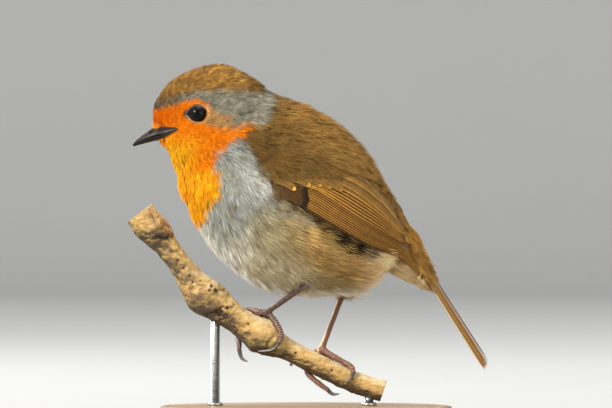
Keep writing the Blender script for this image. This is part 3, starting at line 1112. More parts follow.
vane_finish, tree, shader, place = new_material("stiff_feather")
barb_place = add(tree, "Attribute", attribute_name="Barb").outputs["Vector"]
barbs = add(tree, "TexNoise", {"Vector": barb_place, "Scale": 3.2, "Detail": 3.0, "Roughness": 0.7})
streak = plus(tree, times(tree, barbs.outputs[0], 0.9), 0.55)
colour = add(tree, "VectorMath", {0: tint_of(tree), "Scale": streak}, operation="SCALE").outputs[0]
tree.links.new(colour, shader.inputs["Base Color"])
set_roughness(tree, shader, barbs.outputs[0], (0.3, 0.5), (0.7, 0.66))
set_bump(tree, shader, barbs.outputs[0], 0.35, 0.00008)
shader.inputs["Specular IOR Level"].default_value = 0.05

# Long edges of the closed wing, seen from the side (x, z in mm), from the coverts to the tip:
# the lowest outer edge, the line where the inner feathers begin, and that where the tertials do.
OUTER_LOWER = [(-4.7, 69.9), (0.1, 67.3), (7.3, 63.0), (13.3, 59.4), (19.2, 56.2), (25.2, 53.8), (30.8, 50.8),
               (35.6, 46.0), (38.4, 42.6), (40.8, 39.4)]
OUTER_UPPER = [(-1.9, 73.9), (3.3, 73.2), (9.7, 69.3), (16.0, 65.3), (22.4, 61.4), (27.6, 58.0), (32.0, 54.4),
               (36.2, 49.0), (38.8, 44.6), (41.0, 40.8)]
INNER_LOWER = [(-1.1, 74.2), (3.3, 73.5), (9.7, 69.7), (16.0, 65.7), (22.4, 61.8), (27.6, 58.6), (31.0, 56.4)]
INNER_UPPER = [(0.1, 76.6), (4.9, 76.3), (10.1, 75.3), (15.6, 72.5), (21.6, 68.1), (26.8, 63.2), (30.8, 58.0)]
TERTIAL_EDGES = [[(1.7, 76.9), (9.7, 75.4), (15.2, 72.7), (21.2, 68.3), (26.4, 63.6), (31.0, 57.4)],
                 [(4.9, 78.3), (11.3, 77.3), (17.2, 74.3), (22.4, 70.3), (26.4, 66.3), (28.6, 63.0)],
                 [(9.7, 79.9), (14.5, 78.3), (19.2, 75.4), (22.8, 71.1), (25.8, 67.1)]]
COVERT_LOWER = [(-11.1, 74.3), (-7.9, 71.7), (-3.9, 69.3), (0.6, 67.2)]
COVERT_UPPER = [(-11.3, 75.4), (-7.2, 74.0), (-2.6, 73.7), (1.5, 73.9)]
OUTER_REACH = [0.84, 0.90, 0.95, 0.99, 1.0, 0.96, 0.90, 0.80, 0.72, 0.70]
INNER_REACH = [1.0, 0.99, 0.98, 0.97, 0.96, 0.95]
SMALL_COVERTS = 7
# Greater coverts: root, tip, width and strength of the buff spot.
GREATER_COVERTS = [((-10.0, 76.4), (-3.1, 73.3), 2.2, 0.95), ((-5.6, 77.2), (1.5, 74.5), 2.6, 0.55),
                   ((-1.9, 77.9), (5.2, 74.6), 2.6, 0.55), ((1.2, 78.0), (8.2, 73.9), 2.8, 0.3),
                   ((4.6, 77.6), (11.4, 72.9), 2.8, 0.15)]
OCHRE_EDGE = (0.36, 0.172, 0.028)
PALE_EDGE = (0.24, 0.15, 0.062)
DARK_WEB = (0.060, 0.028, 0.009)
BLACK_WEB = (0.030, 0.016, 0.007)
BROWN_WEB = (0.175, 0.092, 0.022)
BUFF_SPOT = (0.86, 0.43, 0.065)
BELOW_COVER = COVER_LINE + [(60, 0), (-80, 0), (-80, 76)]
COVER_SINK = 1.7  # vanes lie this much deeper where soft feathers cover them


def up_from(curve):
    """Unit normals on the upper side of a curve that runs towards the tail."""
    run = unit(np.gradient(curve, axis=0))
    return np.stack([-run[:, 1], run[:, 0]], -1)


def between(low, high, share, along):
    return spline(low, along) * (1 - share) + spline(high, along) * share


for side, sign in SIDES:
    def on_wing(plan, out, sign=sign):
        x, z = plan[..., 0], plan[..., 1]
        flat = np.stack([x.ravel(), 0 * x.ravel(), z.ravel()], -1)
        covered = step_up(-inside(flat, BELOW_COVER), -0.4, 2.6).reshape(x.shape)
        return np.stack([x, sign * (wing_standing(x, z) + out - COVER_SINK * covered), z], -1)

    flight = []
    for number, reach in enumerate(OUTER_REACH):
        along = np.linspace(0, reach, 48)
        lower = between(OUTER_LOWER, OUTER_UPPER, number / len(OUTER_REACH), along)
        upper = lower + up_from(lower) * (3.5 - 2.0 * along[:, None] ** 2)
        rim = np.array(OCHRE_EDGE) * (0.8 + 0.35 * ((number * 5) % 4) / 3)
        look = {"round": 0.9, "lift": -0.55, "tilt": 0.17, "rim_width": 0.31, "narrow": 0.6, "rim": rim,
                "rim_fade": 0.4, "web": DARK_WEB, "inner": BLACK_WEB, "end_web": (0.19, 0.105, 0.04)}
        if number == 0:
            look.update(rim=(0.05, 0.028, 0.012), rim_width=0.3, rim_fade=0.0)
        flight.append(vane(lower, upper, look, on_wing))
    for number, reach in enumerate(INNER_REACH):
        along = np.linspace(0, reach, 44)
        lower = between(INNER_LOWER, INNER_UPPER, (number - 0.45) / len(INNER_REACH), along)
        upper = lower + up_from(lower) * 3.8
        rim = np.array(OCHRE_EDGE) * (1.0 + 0.2 * (number % 2))
        look = {"round": 0.86, "lift": -0.32, "tilt": 0.14, "rim_width": 0.44, "narrow": 0.35, "rim": rim,
                "rim_fade": 0.3, "web": DARK_WEB, "inner": BLACK_WEB}
        if number == len(INNER_REACH) - 1:
            look.update(web=BROWN_WEB, inner=np.array(BROWN_WEB) * 0.7)
        flight.append(vane(lower, upper, look, on_wing))
    for number, edge in enumerate(TERTIAL_EDGES):
        along = np.linspace(0, 1, 40)
        lower = spline(edge, along)
        upper = lower + up_from(lower) * (4.6 - 0.9 * number)
        look = {"round": 0.78, "lift": -0.1 + 0.18 * number, "tilt": 0.05, "rim_width": 0.36,
                "rim": OCHRE_EDGE, "web": BROWN_WEB, "inner": np.array(BROWN_WEB) * 0.7, "shaft": 0.36,
                "camber": 0.03, "shaft_colour": (0.10, 0.05, 0.015)}
        if number == 2:
            look.update(rim=PALE_EDGE, rim_width=0.26)
        flight.append(vane(lower, upper, look, on_wing))
    join_vanes(f"flight_feathers_{side}", flight, vane_finish, sign > 0)

    coverts = []
    for number in range(SMALL_COVERTS):
        along = np.linspace(0.0, 1.0 - 0.02 * abs(number - 2), 26)
        lower = between(COVERT_LOWER, COVERT_UPPER, number / SMALL_COVERTS, along)
        upper = lower + up_from(lower) * 2.6
        look = {"round": 0.82, "lift": -0.18, "tilt": 0.16, "rim_width": 0.2, "rim": (0.085, 0.048, 0.02),
                "web": DARK_WEB, "inner": BLACK_WEB, "tip": (0.024, 0.014, 0.008), "tip_from": 0.84,
                "rim_fade": 0.9}
        coverts.append(vane(lower, upper, look, on_wing))
    for number, (start, end, wide, spot) in enumerate(GREATER_COVERTS):
        along = np.linspace(0, 1, 26)[:, None]
        shaft_line = np.array(start) * (1 - along) + np.array(end) * along
        shaft_line = shaft_line + np.array([0.35, 0.9]) * 0.5 * np.sin(np.pi * along)
        up = up_from(shaft_line)
        buff = tuple(np.array(BROWN_WEB) * (1 - spot) + np.array(BUFF_SPOT) * spot)
        look = {"round": 0.62, "lift": 0.02 + 0.05 * number, "tilt": 0.10, "rim_width": 0.26,
                "rim": OCHRE_EDGE, "rim_from": 0.7, "web": BROWN_WEB, "inner": BROWN_WEB, "tip": buff,
                "tip_from": 0.85, "shaft": 0.42}
        coverts.append(vane(shaft_line - up * wide * 0.42, shaft_line + up * wide * 0.58, look, on_wing))
    join_vanes(f"wing_coverts_{side}", coverts, vane_finish, sign > 0)

# Sleek coverts that lie over the wing's tip and the quills of the tail.
RUMP_LINE = [(30.6, 60.8), (33.2, 56.4), (35.8, 51.4), (38.4, 46.6)]
UPPERTAIL_BROWN = (0.33, 0.170, 0.040)
for side, sign in SIDES:
    count = 190
    at = spline(RUMP_LINE, rng.uniform(0, 1, count) ** 0.75)
    at = at + rng.normal(0, 0.7, (count, 1)) * np.array([0.84, 0.54])
    spot = np.stack([at[:, 0], sign * (wing_standing(at[:, 0], at[:, 1]) - 0.5), at[:, 1]], -1)
    facing = np.tile(np.array([0.25, sign * 1.0, 0.15]), (count, 1))
    tint = np.array(UPPERTAIL_BROWN) * rng.normal(1.0, 0.2, (count, 1))
    unwrap = np.stack([(at[:, 0] - 26) / 14, (at[:, 1] - 44) / 20], -1)
    extra_tufts(f"coat_uppertail_{side}", spot, facing, END_RUN + rng.normal(0, 0.06, (count, 3)),
                rng.uniform(2.6, 4.6, count), 0.8, tint, unwrap, 12, 0.15, 0.14)
# And those under it, which run on to the tail's lower face.
under_roots = []
for place_x, place_y in zip(rng.uniform(32.0, 37.6, 260), rng.uniform(-5.5, 5.5, 260)):
    hit = outline_tree.ray_cast(Vector((place_x, place_y, 0.0)) * MM, Vector((0, 0, 1)))
    if hit[0] is not None:
        under_roots.append([*(hit[0] / MM - 0.9 * hit[1]), *hit[1]])
under_roots = np.array(under_roots)
count = len(under_roots)
facing = under_roots[:, 3:] * np.array([0.3, 1.0, 1.0])
tint = plumage(under_roots[:, :3]) * rng.normal(0.95, 0.1, (count, 1))
under_lie = np.array([0.86, 0, -0.50]) + rng.normal(0, 0.05, (count, 3))
unwrap = np.stack([(under_roots[:, 0] - 31) / 8, (under_roots[:, 1] + 6) / 12], -1)
extra_tufts("coat_undertail", under_roots[:, :3], facing, under_lie, rng.uniform(2.2, 3.4, count), 0.6, tint,
            unwrap, 12, 0.15, 0.16)

# ---- Tail -----------------------------------------------------------------------------------
# Twelve tail feathers closed into a shallow arch, the middle pair on top and each outer one under
# its neighbour. Their quills are set in the rump under the tail coverts.
TAIL_ROOT = np.array([33.4, 0, 55.6])
TAIL_TIP = np.array([57.5, 0, 18.1])
tail_length = np.linalg.norm(TAIL_TIP - TAIL_ROOT)
tail_run = (TAIL_TIP - TAIL_ROOT) / tail_length
tail_up = np.array([-tail_run[2], 0, tail_run[0]])
TAIL_ARCH = 1.5
TAIL_PAIRS = 6
TAIL_BROWN = (0.32, 0.165, 0.055)
TAIL_RUFOUS = (0.54, 0.25, 0.070)
TAIL_EDGE = (0.66, 0.34, 0.11)
TAIL_PALE_EDGE = (0.66, 0.54, 0.31)


def on_tail(plan, out):
    """Points of the tail's arch from the way down it and the way across it, in mm."""
    down, sideways = plan[..., 0], plan[..., 1]
    half = 6.0 + 4.6 * np.clip(down / tail_length, 0, 1) ** 0.8
    drop = TAIL_ARCH * (sideways / half) ** 2
    return (TAIL_ROOT + down[..., None] * tail_run + (out - drop)[..., None] * tail_up
            + sideways[..., None] * np.array([0, 1.0, 0]))


tail_feathers = []
for pair in range(TAIL_PAIRS):
    for sign in (-1, 1):
        along = np.linspace(0, 1, 46)
        down = along * (tail_length - 0.4 - 2.4 * (1 - pair / (TAIL_PAIRS - 1)) ** 2)
        wide = 3.4 + 1.5 * along
        shaft_at = 0.45 + 0.8 * pair + (0.45 + 0.86 * pair) * along ** 0.9
        outer = np.stack([down, sign * (shaft_at + 0.3 * wide)], -1)
        inner = np.stack([down, sign * (shaft_at - 0.7 * wide)], -1)
        look = {"round": 0.9, "lift": 0.62 - 0.27 * pair, "tilt": 0.03, "camber": 0.0, "rim_width": 0.5,
                "rim": TAIL_EDGE, "web": TAIL_RUFOUS if pair else TAIL_BROWN, "inner": TAIL_BROWN,
                "shaft_colour": (0.14, 0.07, 0.03)}
        if pair == TAIL_PAIRS - 1:
            look.update(rim=TAIL_PALE_EDGE)
        tail_feathers.append((sign, vane(outer, inner, look, on_tail)))
left_ones = [made for sign, made in tail_feathers if sign < 0]
right_ones = [made for sign, made in tail_feathers if sign > 0]
tail_left = join_vanes("tail_feathers_left", left_ones, vane_finish)
tail_right = join_vanes("tail_feathers_right", right_ones, vane_finish, True)
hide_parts("tail")
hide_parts("tail")

# ---- Eyes -----------------------------------------------------------------------------------
# A dark glassy globe with a clear bulge in front of the pupil, inside a bare, finely grained lid
# ring that closes to a corner in front and behind.
eye_glass, tree, shader, place = new_material("eye_glass")
grain_height = set_colour(tree, shader, tint_of(tree), place, 900.0, 3000.0, 0.5)
set_roughness(tree, shader, grain_height, (0.3, 0.16), (0.7, 0.22))
shader.inputs["Specular IOR Level"].default_value = 0.05
shader.inputs["Coat Weight"].default_value = 0.22
shader.inputs["Coat IOR"].default_value = 1.38
shader.inputs["Coat Roughness"].default_value = 0.2
lid_skin, tree, shader, place = new_material("lid_skin")
colour = tint_of(tree)
granules = add(tree, "TexVoronoi", {"Vector": place, "Scale": 4200.0})
grain_height = set_colour(tree, shader, colour, place, 1500.0, 6000.0, 0.4)
set_roughness(tree, shader, grain_height, (0.3, 0.42), (0.7, 0.6))
set_bump(tree, shader, granules.outputs["Distance"], 0.5, 0.00006)

GLOBE_RINGS = 48
GLOBE_SIDES = 64
CORNEA_ANGLE = math.radians(48)
CORNEA_BULGE = 0.22
LID_SIDES = 96
LID_HALF_LENGTH = 2.95
LID_HALF_HEIGHT = 2.45
LID_CORNER = (0.42, 0.30)  # how far the front corner draws out, in mm, and its spread round the eye
# The lid's profile: distance out from its opening, height, the share of the height taken from the
# globe instead of the skin, all in mm, and how much of the pale colour it takes.
LID_PROFILE = [(-0.12, -0.10, 1, 0), (0.0, 0.03, 1, 0), (0.06, 0.16, 1, 0.35), (0.18, 0.22, 1, 1.0),
               (0.32, 0.14, 0.8, 0.9), (0.42, 0.0, 0.5, 0.5), (0.62, -0.12, 0.2, 0.3),
               (0.95, -0.5, 0.0, 0.2), (1.3, -1.0, 0.0, 0.2)]
PUPIL_BLACK = (0.0015, 0.0015, 0.0015)
IRIS_BROWN = (0.009, 0.0045, 0.003)
LID_BLACK = (0.014, 0.014, 0.014)
LID_PALE = (0.80, 0.46, 0.19)
eye_low, eye_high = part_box("eye_left")
eye_centre = np.array((eye_low + eye_high) / 2) / MM
eye_radius = (eye_high.z - eye_low.z) / 2 / MM
eye_out = -eye_centre[1]


def skin_out(x, z):
    """How far the outline of the plumage stands from the middle plane, in mm, seen from the left."""
    hit = outline_tree.ray_cast(Vector((x, -60.0, z)) * MM, Vector((0, 1, 0)))[0]
    return 0.0 if hit is None else -hit.y / MM


for side, sign in SIDES:
    polar = np.linspace(0, np.pi, GLOBE_RINGS + 1)[1:-1]
    turn = np.linspace(0, 2 * np.pi, GLOBE_SIDES, endpoint=False)
    swell = eye_radius - 0.03 + CORNEA_BULGE * np.clip(1 - (polar / CORNEA_ANGLE) ** 2, 0, 1) ** 2
    ring = swell * np.sin(polar)
    points = np.stack([eye_centre[0] + ring[:, None] * np.cos(turn),
                       sign * (eye_out + (swell * np.cos(polar))[:, None] + 0 * turn),
                       eye_centre[2] + ring[:, None] * np.sin(turn)], -1).reshape(-1, 3)
    poles = [(eye_centre[0], sign * (eye_out + swell[0]), eye_centre[2]),
             (eye_centre[0], sign * (eye_out - swell[-1]), eye_centre[2])]
    globe = mesh_piece(f"eyeball_{side}", np.vstack([points, poles]) * MM,
                       ring_quads(len(polar), GLOBE_SIDES), end_fans(len(polar), GLOBE_SIDES))
    outward_faces(globe)
    inward = np.concatenate([np.repeat(ring, GLOBE_SIDES), [0, 0]])
    behind = np.concatenate([np.repeat(polar > 1.2, GLOBE_SIDES), [False, True]])
    iris = step_up(inward, 1.35, 1.55) * (1 - step_up(inward, 2.3, 2.6)) * ~behind
    paint(globe, blend(PUPIL_BLACK, IRIS_BROWN, iris))
    globe.data.materials.append(eye_glass)
    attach(globe, "root")
    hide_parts(f"eye_{side}")

    angle = np.linspace(0, 2 * np.pi, LID_SIDES, endpoint=False)
    corner = LID_CORNER[0] * hump(angle, np.pi, LID_CORNER[1])
    corner += 0.2 * hump(np.minimum(angle, 2 * np.pi - angle), 0, 0.3)
    rings = []
    for offset, rise, hold, _ in LID_PROFILE:
        open_x = (LID_HALF_LENGTH + corner + offset) * np.cos(angle)
        open_z = (LID_HALF_HEIGHT + offset) * np.sin(angle)
        away = np.hypot(open_x, open_z)
        on_globe = eye_out + np.sqrt(np.clip(eye_radius ** 2 - away ** 2, 0.6, None))
        x, z = eye_centre[0] + open_x, eye_centre[2] + open_z
        on_skin = np.array([skin_out(a, b) for a, b in zip(x, z)])
        out = on_globe * hold + np.minimum(on_skin, on_globe + 0.4) * (1 - hold) + rise
        rings.append(np.stack([x, sign * out, z], -1))
    quads = ring_quads(len(rings), LID_SIDES)
    lid = mesh_piece(f"lid_{side}", np.vstack(rings) * MM, quads if sign < 0 else quads[:, ::-1])
    pale = 0.95 * hump(turn_gap(angle, 5), 0, 0.85) + 0.8 * step_up(-np.sin(angle), 0.1, 0.6)
    pale += 0.45 * hump(angle, math.radians(192), 0.13)
    crest = np.array([row[3] for row in LID_PROFILE])[:, None] * np.clip(pale, 0, 1)[None, :]
    paint(lid, blend(LID_BLACK, LID_PALE, crest.ravel()))
    lid.data.materials.append(lid_skin)
    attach(lid, "root")

# Ring of tiny pale feathers that fringes each lid. For each row: distance out from the lid's
# opening and length of a feather, in mm, and how pale the row is behind the eye.
RING_ROWS = [(0.25, 0.9, 0.95), (0.5, 1.1, 0.55), (0.85, 1.2, 0.12)]
RING_PALE = (0.97, 0.56, 0.19)
RING_DARK = (0.10, 0.035, 0.010)
ring_parts = {"left": [], "right": []}
for side, sign in SIDES:
    for offset, long, paleness in RING_ROWS:
        count = 64
        angle = np.linspace(0, 2 * np.pi, count, endpoint=False) + rng.normal(0, 0.03, count)
        corner = LID_CORNER[0] * hump(angle % (2 * np.pi), np.pi, LID_CORNER[1])
        x = eye_centre[0] + (LID_HALF_LENGTH + corner + offset) * np.cos(angle)
        z = eye_centre[2] + (LID_HALF_HEIGHT + offset) * np.sin(angle)
        out = np.array([skin_out(a, b) for a, b in zip(x, z)]) - 0.25
        spot = np.stack([x, sign * out, z], -1)
        outward = np.stack([np.cos(angle) * 0.9 + 0.35, np.zeros(count), np.sin(angle)], -1)
        facing = np.stack([0.5 * np.cos(angle), np.full(count, sign * 1.0), 0.5 * np.sin(angle)], -1)
        facing = unit(facing)
        outward = laid_flat(outward, facing)
        pale_share = paleness * hump(turn_gap(angle, 8), 0, 1.2)
        pale_share += (0.5 if offset < 0.3 else 0.0) * step_up(-np.sin(angle), 0.2, 0.8)
        tint = blend(plumage(spot + outward * 0.8), RING_PALE, np.clip(pale_share, 0, 1))
        tint = blend(tint, RING_DARK, 0.75 * hump(angle, math.radians(176), 0.38))
        ring_parts[side].append({"root": spot, "normal": facing, "lie": outward,
                                 "across": np.cross(facing, outward),
                                 "length": long * rng.uniform(0.85, 1.15, count),
                                 "depth": np.full(count, 0.32), "tint": tint,
                                 "uv": np.stack([angle / 7, np.full(count, offset / 2)], -1),
                                 "rise": np.ones(count)})
    tufts = {key: np.concatenate([part[key] for part in ring_parts[side]]) for key in ring_parts[side][0]}
    eye_ring = fan_feathers(f"eye_ring_{side}", tufts, np.arange(len(tufts["length"])), 7, 3, 0.09, 0.22)
    eye_ring.data.materials.append(feather_soft)
    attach(eye_ring, "root")

# ---- Bill -----------------------------------------------------------------------------------
# Two horny sheaths that meet along the gape: a ridged upper one with a slit nostril on each side,
# and a shallower lower one that closes just inside it. Soft paler skin lines the gape's corner.
CULMEN = [(-44.2, 94.4), (-47.8, 93.0), (-50.7, 91.0), (-52.9, 89.3), (-54.3, 87.5)]
GAPE = [(-44.2, 91.3), (-47.4, 90.4), (-50.4, 89.3), (-52.6, 88.3), (-54.1, 87.3)]
GONYS = [(-44.2, 88.9), (-47.0, 88.7), (-50.0, 88.0), (-52.3, 87.4), (-53.7, 87.0)]
BILL_HALF_WIDTH = [(0, 2.9), (1, 2.35), (2, 1.7), (3, 1.05), (4, 0.38)]
BILL_STEPS = 90
BILL_SIDES = 41
BILL_GREY = (0.013, 0.010, 0.011)
BILL_RIDGE = (0.30, 0.26, 0.19)
BILL_LOWER_BROWN = (0.015, 0.010, 0.008)
LIP_TAN = (0.14, 0.10, 0.06)
bill_horn, tree, shader, place = new_material("bill_horn")
colour = tint_of(tree)
grown = add(tree, "Mapping", {"Vector": place, "Rotation": (0, math.radians(-28), 0), "Scale": (0.25, 1, 1)})
growth = add(tree, "TexNoise", {"Vector": grown.outputs[0], "Scale": 2600.0, "Detail": 4.0})
grain_height = set_colour(tree, shader, colour, place, 700.0, 4000.0, 0.5)
set_roughness(tree, shader, growth.outputs[0], (0.3, 0.42), (0.7, 0.6))
set_bump(tree, shader, growth.outputs[0], 0.3, 0.00005)
shader.inputs["Specular IOR Level"].default_value = 0.2
for name, crest, lip in (("bill_upper", CULMEN, 1.0), ("bill_lower", GONYS, 0.93)):
    along = np.linspace(0, 1, BILL_STEPS)
    top, seam = spline(crest, along), spline(GAPE, along)
    half = spline(BILL_HALF_WIDTH, along)[:, 1:] * lip
    turn = np.linspace(0, np.pi, BILL_SIDES)[None, :]
    climb = np.sin(turn) ** (0.85 if lip == 1 else 0.7)
    overlap = -0.10 if lip == 1 else 0.03
    start = seam + unit(top - seam) * overlap
    side_view = start[:, None, :] + (top - start)[:, None, :] * climb[..., None]
    squared = np.sign(np.cos(turn)) * np.abs(np.cos(turn)) ** 0.85
    wide = half * squared * (1 + 0.04 * (climb < 0.12))
    nostril = np.zeros(climb.shape) * along[:, None]
    if lip == 1:
        across_slit = (climb - 0.56 - 0.10 * (along[:, None] - 0.30)) / 0.10
        nostril = hump(along[:, None], 0.30, 0.06) * hump(across_slit, 0, 1)
        wide = wide - np.sign(wide) * 0.42 * nostril
    points = np.stack([side_view[..., 0], wide, side_view[..., 1]], -1)
    inner = [points[:, :1] + (points[:, -1:] - points[:, :1]) * share for share in (0.25, 0.5, 0.75)]
    closing = np.concatenate(inner, 1)[:, ::-1]
    tube = np.concatenate([points, closing], 1)
    sides = tube.shape[1]
    hubs = np.stack([tube[0].mean(0), tube[-1].mean(0) + (tube[-1].mean(0) - tube[-2].mean(0)) * 0.6])
    sheath = mesh_piece(f"{name}_sheath", np.vstack([tube.reshape(-1, 3), hubs]) * MM,
                        ring_quads(BILL_STEPS, sides), end_fans(BILL_STEPS, sides))
    outward_faces(sheath)
    near_seam = 1 - step_up(climb + 0 * along[:, None], 0.02, 0.16)
    ridge = step_up(climb + 0 * along[:, None], 0.93, 0.985)
    tone = np.tile(np.array(BILL_GREY if lip == 1 else BILL_LOWER_BROWN), (BILL_STEPS, BILL_SIDES, 1))
    if lip == 1:
        tone = blend(tone, BILL_RIDGE, 0.85 * ridge)
        tone = blend(tone, LIP_TAN, 0.8 * hump(climb, 0.20, 0.09) * (1 - step_up(along[:, None], 0.30, 0.62)))
    tone = tone * (1 - 0.6 * near_seam)[..., None]
    tone = tone * (1 - 0.9 * np.clip(nostril, 0, 1))[..., None]
    tone = np.concatenate([tone, np.full((BILL_STEPS, 3, 3), 0.02)], 1)
    paint(sheath, np.vstack([tone.reshape(-1, 3), np.full((2, 3), 0.03)]))
    sheath.data.materials.append(bill_horn)
    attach(sheath, "root")
    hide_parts(name)

# Soft lips of the gape, that run back from the bill's base into the cheek on each side.
LIP_ROWS = 40
LIP_SIDES = 25
along = np.linspace(0, 1, LIP_ROWS)
lip_top, lip_bottom = spline(GAPE_TOP[1:], along), spline(GAPE_BOTTOM[1:], along)
across = np.linspace(-0.08, 1.06, LIP_SIDES)
plan = lip_top[:, None, :] * (1 - across[None, :, None]) + lip_bottom[:, None, :] * across[None, :, None]
swell = 0.22 * hump(across, 0.46, 0.14) + 0.12 * hump(across, 0.84, 0.12) - 0.30 * hump(across, 0.66, 0.055)
swell = swell * (1 - 0.7 * along[:, None]) - 0.35 * step_up(np.abs(across - 0.5), 0.46, 0.60)
flesh_out = np.array([[skin_out(x, z) for x, z in row] for row in plan])
lip_out = np.maximum(flesh_out - 0.28, 0.2) + swell
# At the front they run into the sheaths.
seam_z = np.interp(plan[..., 0], [p[0] for p in GAPE[::-1]], [p[1] for p in GAPE[::-1]])
sheath_half = np.interp(plan[..., 0], [GAPE[2][0], GAPE[1][0], GAPE[0][0]], [1.7, 2.35, 2.9])
sheath_tall = np.where(plan[..., 1] > seam_z, 2.8, 2.1)
sheath_out = sheath_half * np.sqrt(np.clip(1 - ((plan[..., 1] - seam_z) / sheath_tall) ** 2, 0.02, 1)) - 0.06
joined = step_up(along[:, None] + 0 * across, 0.0, 0.30)
lip_out = np.maximum(sheath_out * (1 - joined) + lip_out * joined, flesh_out - 0.18 + 0.6 * swell)
tan_share = 0.95 * hump(across, 0.47, 0.12) * (0.35 + 0.65 * step_up(along[:, None], 0.1, 0.35))
tan_share = tan_share * (1 - step_up(along[:, None], 0.86, 1.0))
lip_tone = blend(BILL_GREY, LIP_TAN, tan_share) * (1 - 0.8 * hump(across, 0.66, 0.07))[None, :, None]
for side, sign in SIDES:
    quads = grid_quads(LIP_ROWS, LIP_SIDES)
    points = np.stack([plan[..., 0], sign * lip_out, plan[..., 1]], -1).reshape(-1, 3)
    lips = mesh_piece(f"gape_lips_{side}", points * MM, quads[:, ::-1] if sign < 0 else quads)
    paint(lips, lip_tone.reshape(-1, 3))
    lips.data.materials.append(bill_horn)
    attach(lips, "root")

# ---- Bristles -------------------------------------------------------------------------------
# Stiff dark hairs that curve forward and down from the corners of the gape.
BRISTLES = 9  # on each side
BRISTLE_STEPS = 9
bristle_points, bristle_quads = [], []
for sign in (-1, 1):
    for share in np.linspace(0, 1, BRISTLES):
        start = np.array([-46.4 + 1.6 * share, sign * (2.3 + 0.5 * share), 92.2 - 3.6 * share])
        heading = np.array([-0.85 + 0.25 * share, sign * rng.uniform(0.25, 0.5), 0.15 - 0.75 * share])
        heading = unit(heading)
        long = rng.uniform(1.9, 2.9)
        along = np.linspace(0, 1, BRISTLE_STEPS)[:, None]
        line = start + heading * long * along + np.array([0.1, 0, -0.45]) * along ** 2
        thick = 0.045 * (1.05 - along)
        offsets = np.array([(0, 0, 1.0), (0.6, sign * 0.8, -0.5), (-0.6, -sign * 0.8, -0.5)])
        first = sum(len(part) for part in bristle_points)
        bristle_points.append(np.stack([line + thick * offset for offset in offsets], 1).reshape(-1, 3))
        bristle_quads.append(ring_quads(BRISTLE_STEPS, 3) + first)
bristles = mesh_piece("gape_bristles", np.vstack(bristle_points) * MM, np.vstack(bristle_quads))
bristle_horn, tree, shader, place = new_material("bristle_horn")
grain_height = set_colour(tree, shader, (0.02, 0.015, 0.012), place, 900.0, 4000.0, 0.5)
set_roughness(tree, shader, grain_height, (0.3, 0.35), (0.7, 0.5))
bristles.data.materials.append(bristle_horn)
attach(bristles, "root")

# ---- Legs and toes --------------------------------------------------------------------------
# Bare scaly skin over thin bone and tendon: broad overlapping plates down the front of the leg and
# over each toe, and soft grained pads below. The toes wrap round the branch and grip it.
# The bare shank of each leg, from hock to knuckle (x, y, z in mm).
LEG_LINES = {"left": ((-0.4, -11.6, 43.4), (-12.3, -0.9, 35.2)),
             "right": ((11.4, 9.6, 40.4), (4.8, 0.5, 23.35))}
# Each toe: place along the branch (x), angle round it and clearance; the last three are the claw's.
TOE_ROWS = {
    "left": {
        "hallux": [(-15.2, 6, 1.0), (-13.3, 16, 0.2), (-11.3, 30, 0.12), (-9.8, 43, 0.12), (-9.0, 58, 0.12),
                   (-8.8, 72, 0.15), (-9.4, 108, 0.3), (-12.6, 146, 0.2)],
        "inner": [(-14.2, -6, 1.0), (-15.0, -34, 0.15), (-15.6, -64, 0.12), (-15.8, -94, 0.12),
                  (-15.6, -116, 0.12), (-15.3, -136, 0.12), (-14.9, -152, 0.12), (-14.5, -168, 0.12)],
        "middle": [(-15.6, -6, 1.1), (-17.2, -26, 0.2), (-18.6, -50, 0.12), (-19.5, -82, 0.12),
                   (-19.4, -114, 0.15), (-18.6, -144, 0.3), (-17.7, -170, 0.6), (-16.9, -176, 2.0),
                   (-15.2, -178, 3.3), (-13.4, -178, 3.6)],
        "outer": [(-16.4, 8, 1.0), (-18.0, 6, 0.25), (-19.6, -20, 0.15), (-21.8, -58, 0.12),
                  (-22.9, -84, 0.12), (-23.2, -104, 0.12), (-23.0, -122, 0.12), (-22.7, -138, 0.12)]},
    "right": {
        "hallux": [(3.0, 4, 0.9), (6.6, 9, 0.25), (9.6, 12, 0.25), (11.6, 17, 0.3), (13.0, 32, 0.25),
                   (13.8, 54, 0.15), (13.6, 82, 0.12), (12.6, 108, 0.12)],
        "inner": [(5.0, -18, 1.1), (6.0, -46, 0.15), (6.3, -70, 0.12), (6.4, -94, 0.12), (6.5, -114, 0.12),
                  (6.6, -126, 0.12), (6.8, -137, 0.12), (7.0, -147, 0.12)],
        "middle": [(4.2, -20, 1.1), (3.6, -50, 0.2), (2.6, -78, 0.12), (1.6, -106, 0.12), (1.8, -140, 0.2),
                   (3.9, -164, 0.5), (7.0, -176, 1.1), (9.0, -180, 1.5), (10.8, -180, 2.0),
                   (12.6, -178, 1.6)],
        "outer": [(3.4, -20, 1.0), (1.4, -50, 0.2), (-0.4, -74, 0.12), (-1.9, -96, 0.12), (-2.8, -114, 0.12),
                  (-3.2, -132, 0.12), (-3.1, -150, 0.12), (-2.6, -166, 0.15)]}}
TOE_RADIUS = (0.98, 0.74)
TOE_STEPS = 60
CLAW_RADIUS = (0.62, 0.46, 0.30)
CLAW_RINGS = 34
CLAW_SIDES = 16
SHANK_PLATES = (2.3, 0.12)  # length of a horny plate and how far it stands, in mm
TOE_PLATES = (0.80, 0.30)
LEG_VOXEL = 0.14
fine_share = np.linspace(0, 1, 1200)
fine_middle = perch_frame(fine_share)[0]


def beside_branch(x, degrees, distance):
    """A point over the bark and the way straight out from the branch there, in mm."""
    at = np.interp(x, fine_middle[:, 0], fine_share)
    middle, upward, radius = perch_frame(np.array([at]))
    angle = math.radians(degrees)
    outward = upward[0] * math.cos(angle) + np.array([0, -math.sin(angle), 0])
    return middle[0] + outward * (radius[0] + distance), outward


